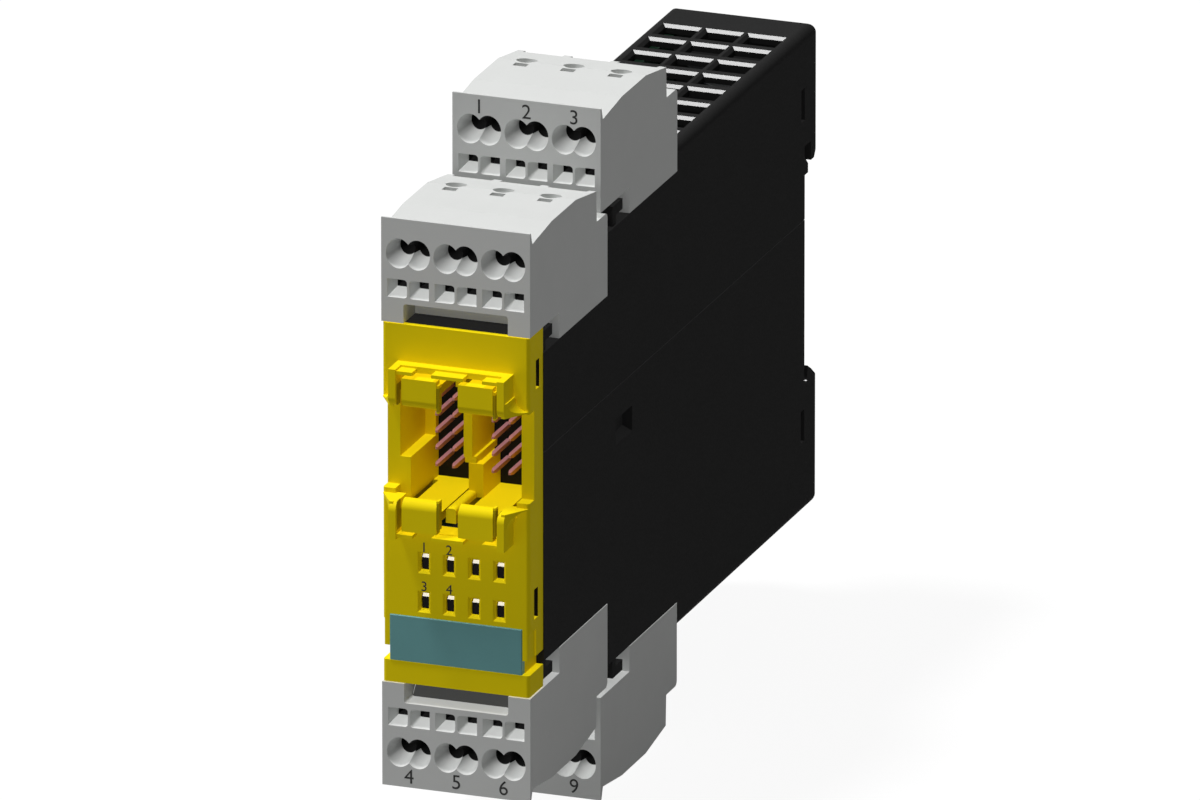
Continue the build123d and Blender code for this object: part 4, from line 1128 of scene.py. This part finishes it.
@dataclass
class SliderSpring(SubAssembly):
    """The bowed leaf over the rail slider.

    Attributes:
        low: The bow's lowest point.
        rise: How far the ends stand above it.
        half: Half the leaf's length.
        thickness: The leaf's thickness.
        kept: The share of the bow's height that is left at the slider's upper limit; not used.
        strips: How many strips make the bow.
        edge: The bevel along the leaf's edges.
    """

    low: float = 25.9
    rise: float = 4.3
    half: float = 7.5
    thickness: float = 0.4
    kept: float = 0.3
    strips: int = 28
    edge: float = 0.06

    def build(self) -> None:
        """Spins the leaf's cross-section through its bow and rounds its edges."""
        near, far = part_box("slider_spring")
        radius = (self.half**2 + self.rise**2) / (2 * self.rise)
        turn = math.asin(self.half / radius)
        centre = Vector((0, (near.y + far.y) / 2, (self.low + radius) * MM))
        sliver = 0.01
        leaf = start_box(
            "leaf_spring", (-sliver, near.y / MM, self.low), (sliver, far.y / MM, self.low + self.thickness)
        )
        select_faces(leaf, lambda middle, normal: normal.x < FACING)
        bpy.ops.mesh.delete(type="FACE")
        bpy.ops.object.mode_set(mode="OBJECT")
        flat = Matrix.Translation(Vector((-leaf.data.vertices[0].co.x, 0, 0)))
        swing = Matrix.Translation(centre) @ Matrix.Rotation(turn, 4, "Y") @ Matrix.Translation(-centre)
        leaf.data.transform(swing @ flat)
        select_faces(leaf, lambda middle, normal: True)
        bpy.ops.mesh.spin(steps=self.strips, angle=2 * turn, center=centre, axis=(0, 1, 0))
        bpy.ops.mesh.select_all(action="SELECT")
        bpy.ops.mesh.remove_doubles(threshold=0.001 * MM)
        bpy.ops.mesh.normals_make_consistent(inside=False)
        bpy.ops.object.mode_set(mode="OBJECT")
        round_edges(leaf, self.edge)
        self.dress(leaf, SPRING_STEEL, Slot.SPRING)
        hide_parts("slider_spring")
        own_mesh(leaf)


def block_numbers(shop: PaintShop, body: Body, name: str, first: int) -> PrintedNumbers:
    """Plans the row of pole numbers on one terminal block.

    Args:
        shop: The paint shop.
        body: The block's body.
        name: The block's place, as in its node's name.
        first: The first number.

    Returns:
        The row.
    """
    low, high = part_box(f"terminal_block_{name}")
    height = high.z / MM - NUMBER_DROP if "upper" in name else low.z / MM + NUMBER_DROP
    start = (-POLE_PITCH, low.y / MM, height)
    return PrintedNumbers(shop, body, f"pole_number_{name}", first, 3, POLE_PITCH, start)


def window_numbers(shop: PaintShop, name: str, first: int, height: float) -> PrintedNumbers:
    """Plans the two small numbers over the left windows of one row.

    Args:
        shop: The paint shop.
        name: The row's name.
        first: The first number.
        height: The numbers' middle.

    Returns:
        The row.
    """
    start = (WINDOW_FIRST, COVER_FACE, height)
    title = f"window_number_{name}"
    size = WINDOW_NUMBER_SIZE
    return PrintedNumbers(shop, Body.MODULE, title, first, 2, WINDOW_PITCH, start, size, Slot.COVER)


# Studio


@dataclass
class Studio:
    """Floor, sun, sky and the camera at the photograph's angle.

    Attributes:
        floor_height: Where the object's lowest point stands, in metres.
        floor_size: The floor's length and width, in metres.
        azimuth: How far to the right of the front the camera stands, in degrees.
        elevation: How far above the horizon it stands, in degrees.
        target: The point in the middle of the picture, in metres.
        lens: The lens's focal length.
        sensor: The sensor's width.
        picture_width: What the picture's width covers at the target, in metres.
        sun_direction: The direction towards both suns.
        sun_strength: The strength of both suns together.
        clear_share: The share of it that casts no shadow, as in the photograph.
        sun_angle: How wide the sun is, in degrees.
        sky: The sky's level for the light it sheds.
        floor_shade: The floor's grey for the light it returns.
        floor_white: The floor's level where it is seen.
        floor_glow: How much of the floor's white is its own light.
    """

    floor_height: float
    floor_size: float = 12.0
    azimuth: float = 20.17
    elevation: float = 19.15
    target: Point = (-0.00023, -0.05479, -0.0030)
    lens: float = 1000.0
    sensor: float = 36.0
    picture_width: float = 0.17241
    sun_direction: Point = (-0.33, -0.155, 0.93)
    sun_strength: float = 3.55
    clear_share: float = 0.63
    sun_angle: float = 10.0
    sky: float = 0.125
    floor_shade: float = 0.3
    floor_white: float = 0.95
    floor_glow: float = 0.8

    def seen_directly(self, tree: bpy.types.NodeTree) -> Socket:
        """Writes a mask of the rays that show the white background.

        Args:
            tree: The node tree to write in.

        Returns:
            1 for camera, glossy and transmission rays, and 0 for the rest.
        """
        path = tree.nodes.new("ShaderNodeLightPath")
        total = path.outputs["Is Camera Ray"]
        for name in ("Is Glossy Ray", "Is Transmission Ray"):
            both = tree.nodes.new("ShaderNodeMath")
            both.operation = "MAXIMUM"
            tree.links.new(total, both.inputs[0])
            tree.links.new(path.outputs[name], both.inputs[1])
            total = both.outputs["Value"]
        return total

    def floor_material(self) -> Material:
        """Builds the floor's paint: white where it is seen, grey for the light it returns."""
        graph = Graph("studio_floor")
        colour = graph.add("ShaderNodeMix", data_type="RGBA")
        colour.inputs[MIX_A].default_value = (self.floor_shade,) * 3 + (1.0,)
        colour.inputs[MIX_B].default_value = (self.floor_white,) * 3 + (1.0,)
        seen = self.seen_directly(graph.tree)
        graph.link(seen, colour.inputs[0])
        diffuse = graph.add("ShaderNodeBsdfDiffuse")
        graph.link(colour.outputs[MIX_RESULT], diffuse.inputs["Color"])
        glow = graph.add("ShaderNodeEmission", Strength=1.0)
        share = graph.add("ShaderNodeMath", operation="MULTIPLY")
        share.inputs[1].default_value = self.floor_glow
        graph.link(seen, share.inputs[0])
        both = graph.add("ShaderNodeMixShader")
        graph.link(share.outputs["Value"], both.inputs[0])
        graph.link(diffuse.outputs["BSDF"], both.inputs[1])
        graph.link(glow.outputs["Emission"], both.inputs[2])
        return graph.close(both.outputs["Shader"])

    def lay_floor(self) -> None:
        """Lays the plain floor under the object."""
        clear_selection()
        bpy.ops.mesh.primitive_plane_add(size=self.floor_size, location=(0, 0, self.floor_height))
        floor = bpy.context.active_object
        floor.name = "studio_floor"
        floor.data.materials.append(self.floor_material())
        floor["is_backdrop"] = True

    def hang_sun(self, name: str, share: float, shadows: bool) -> None:
        """Hangs one of the two soft suns.

        Args:
            name: The sun's name.
            share: Its share of the light.
            shadows: Whether it casts shadows.
        """
        clear_selection()
        bpy.ops.object.light_add(type="SUN", location=(0, 0, 1))
        sun = bpy.context.active_object
        sun.name = name
        sun.data.energy = self.sun_strength * share
        sun.data.angle = math.radians(self.sun_angle)
        sun.data.use_shadow = shadows
        sun.rotation_mode = "QUATERNION"
        sun.rotation_quaternion = Vector(self.sun_direction).to_track_quat("Z", "Y")

    def paint_sky(self) -> None:
        """Makes the world white where it is seen and dim for the light it sheds."""
        world = bpy.data.worlds.new("studio_sky")
        bpy.context.scene.world = world
        world.use_nodes = True
        tree = world.node_tree
        tree.nodes.clear()
        mix = tree.nodes.new("ShaderNodeMix")
        mix.data_type = "RGBA"
        mix.inputs[MIX_A].default_value = (self.sky,) * 3 + (1.0,)
        mix.inputs[MIX_B].default_value = (1.0, 1.0, 1.0, 1.0)
        tree.links.new(self.seen_directly(tree), mix.inputs[0])
        glow = tree.nodes.new("ShaderNodeBackground")
        tree.links.new(mix.outputs[MIX_RESULT], glow.inputs["Color"])
        end = tree.nodes.new("ShaderNodeOutputWorld")
        tree.links.new(glow.outputs["Background"], end.inputs["Surface"])

    def place_camera(self) -> None:
        """Stands the camera at the photograph's angle with a very long lens."""
        turn, rise = math.radians(self.azimuth), math.radians(self.elevation)
        back = Vector((math.sin(turn) * math.cos(rise), -math.cos(turn) * math.cos(rise), math.sin(rise)))
        data = bpy.data.cameras.new("photo_camera")
        data.lens = self.lens
        data.sensor_width = self.sensor
        data.clip_start, data.clip_end = 0.1, 100.0
        camera = bpy.data.objects.new("photo_camera", data)
        bpy.context.scene.collection.objects.link(camera)
        distance = self.lens * self.picture_width / self.sensor
        camera.location = Vector(self.target) + back * distance
        camera.rotation_mode = "QUATERNION"
        camera.rotation_quaternion = (-back).to_track_quat("-Z", "Y")
        bpy.context.scene.camera = camera

    def build(self) -> None:
        """Sets the whole studio up."""
        bpy.context.scene.view_settings.view_transform = "Standard"
        self.lay_floor()
        self.hang_sun("key_sun", 1 - self.clear_share, True)
        self.hang_sun("fill_sun", self.clear_share, False)
        self.paint_sky()
        self.place_camera()
        LOG.info("studio ready")


def main() -> None:
    """Dresses the module."""
    logging.basicConfig(level=logging.INFO, format="%(name)s: %(message)s")
    packed_low, packed_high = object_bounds()
    shop = PaintShop()
    shop.paint_nodes()
    for assembly in (
        block_numbers(shop, Body.UPPER_REAR, "upper_rear", 1),
        block_numbers(shop, Body.LOWER_FRONT, "lower_front", 4),
        block_numbers(shop, Body.LOWER_REAR, "lower_rear", 7),
        window_numbers(shop, "upper", 1, UPPER_NUMBER_HEIGHT),
        window_numbers(shop, "lower", 3, LOWER_NUMBER_HEIGHT),
        ChipLeads(shop),
        CapacitorLids(shop),
        CoilWindings(shop),
        BoardParts(shop, rows=RIGHT_ROWS),
        BoardParts(shop, side=-1, rows=LEFT_ROWS),
        SolderJoints(shop),
        SliderSpring(shop),
    ):
        assembly.build()
    Studio(floor_height=packed_low.z).build()


if __name__ == "__main__":
    main()
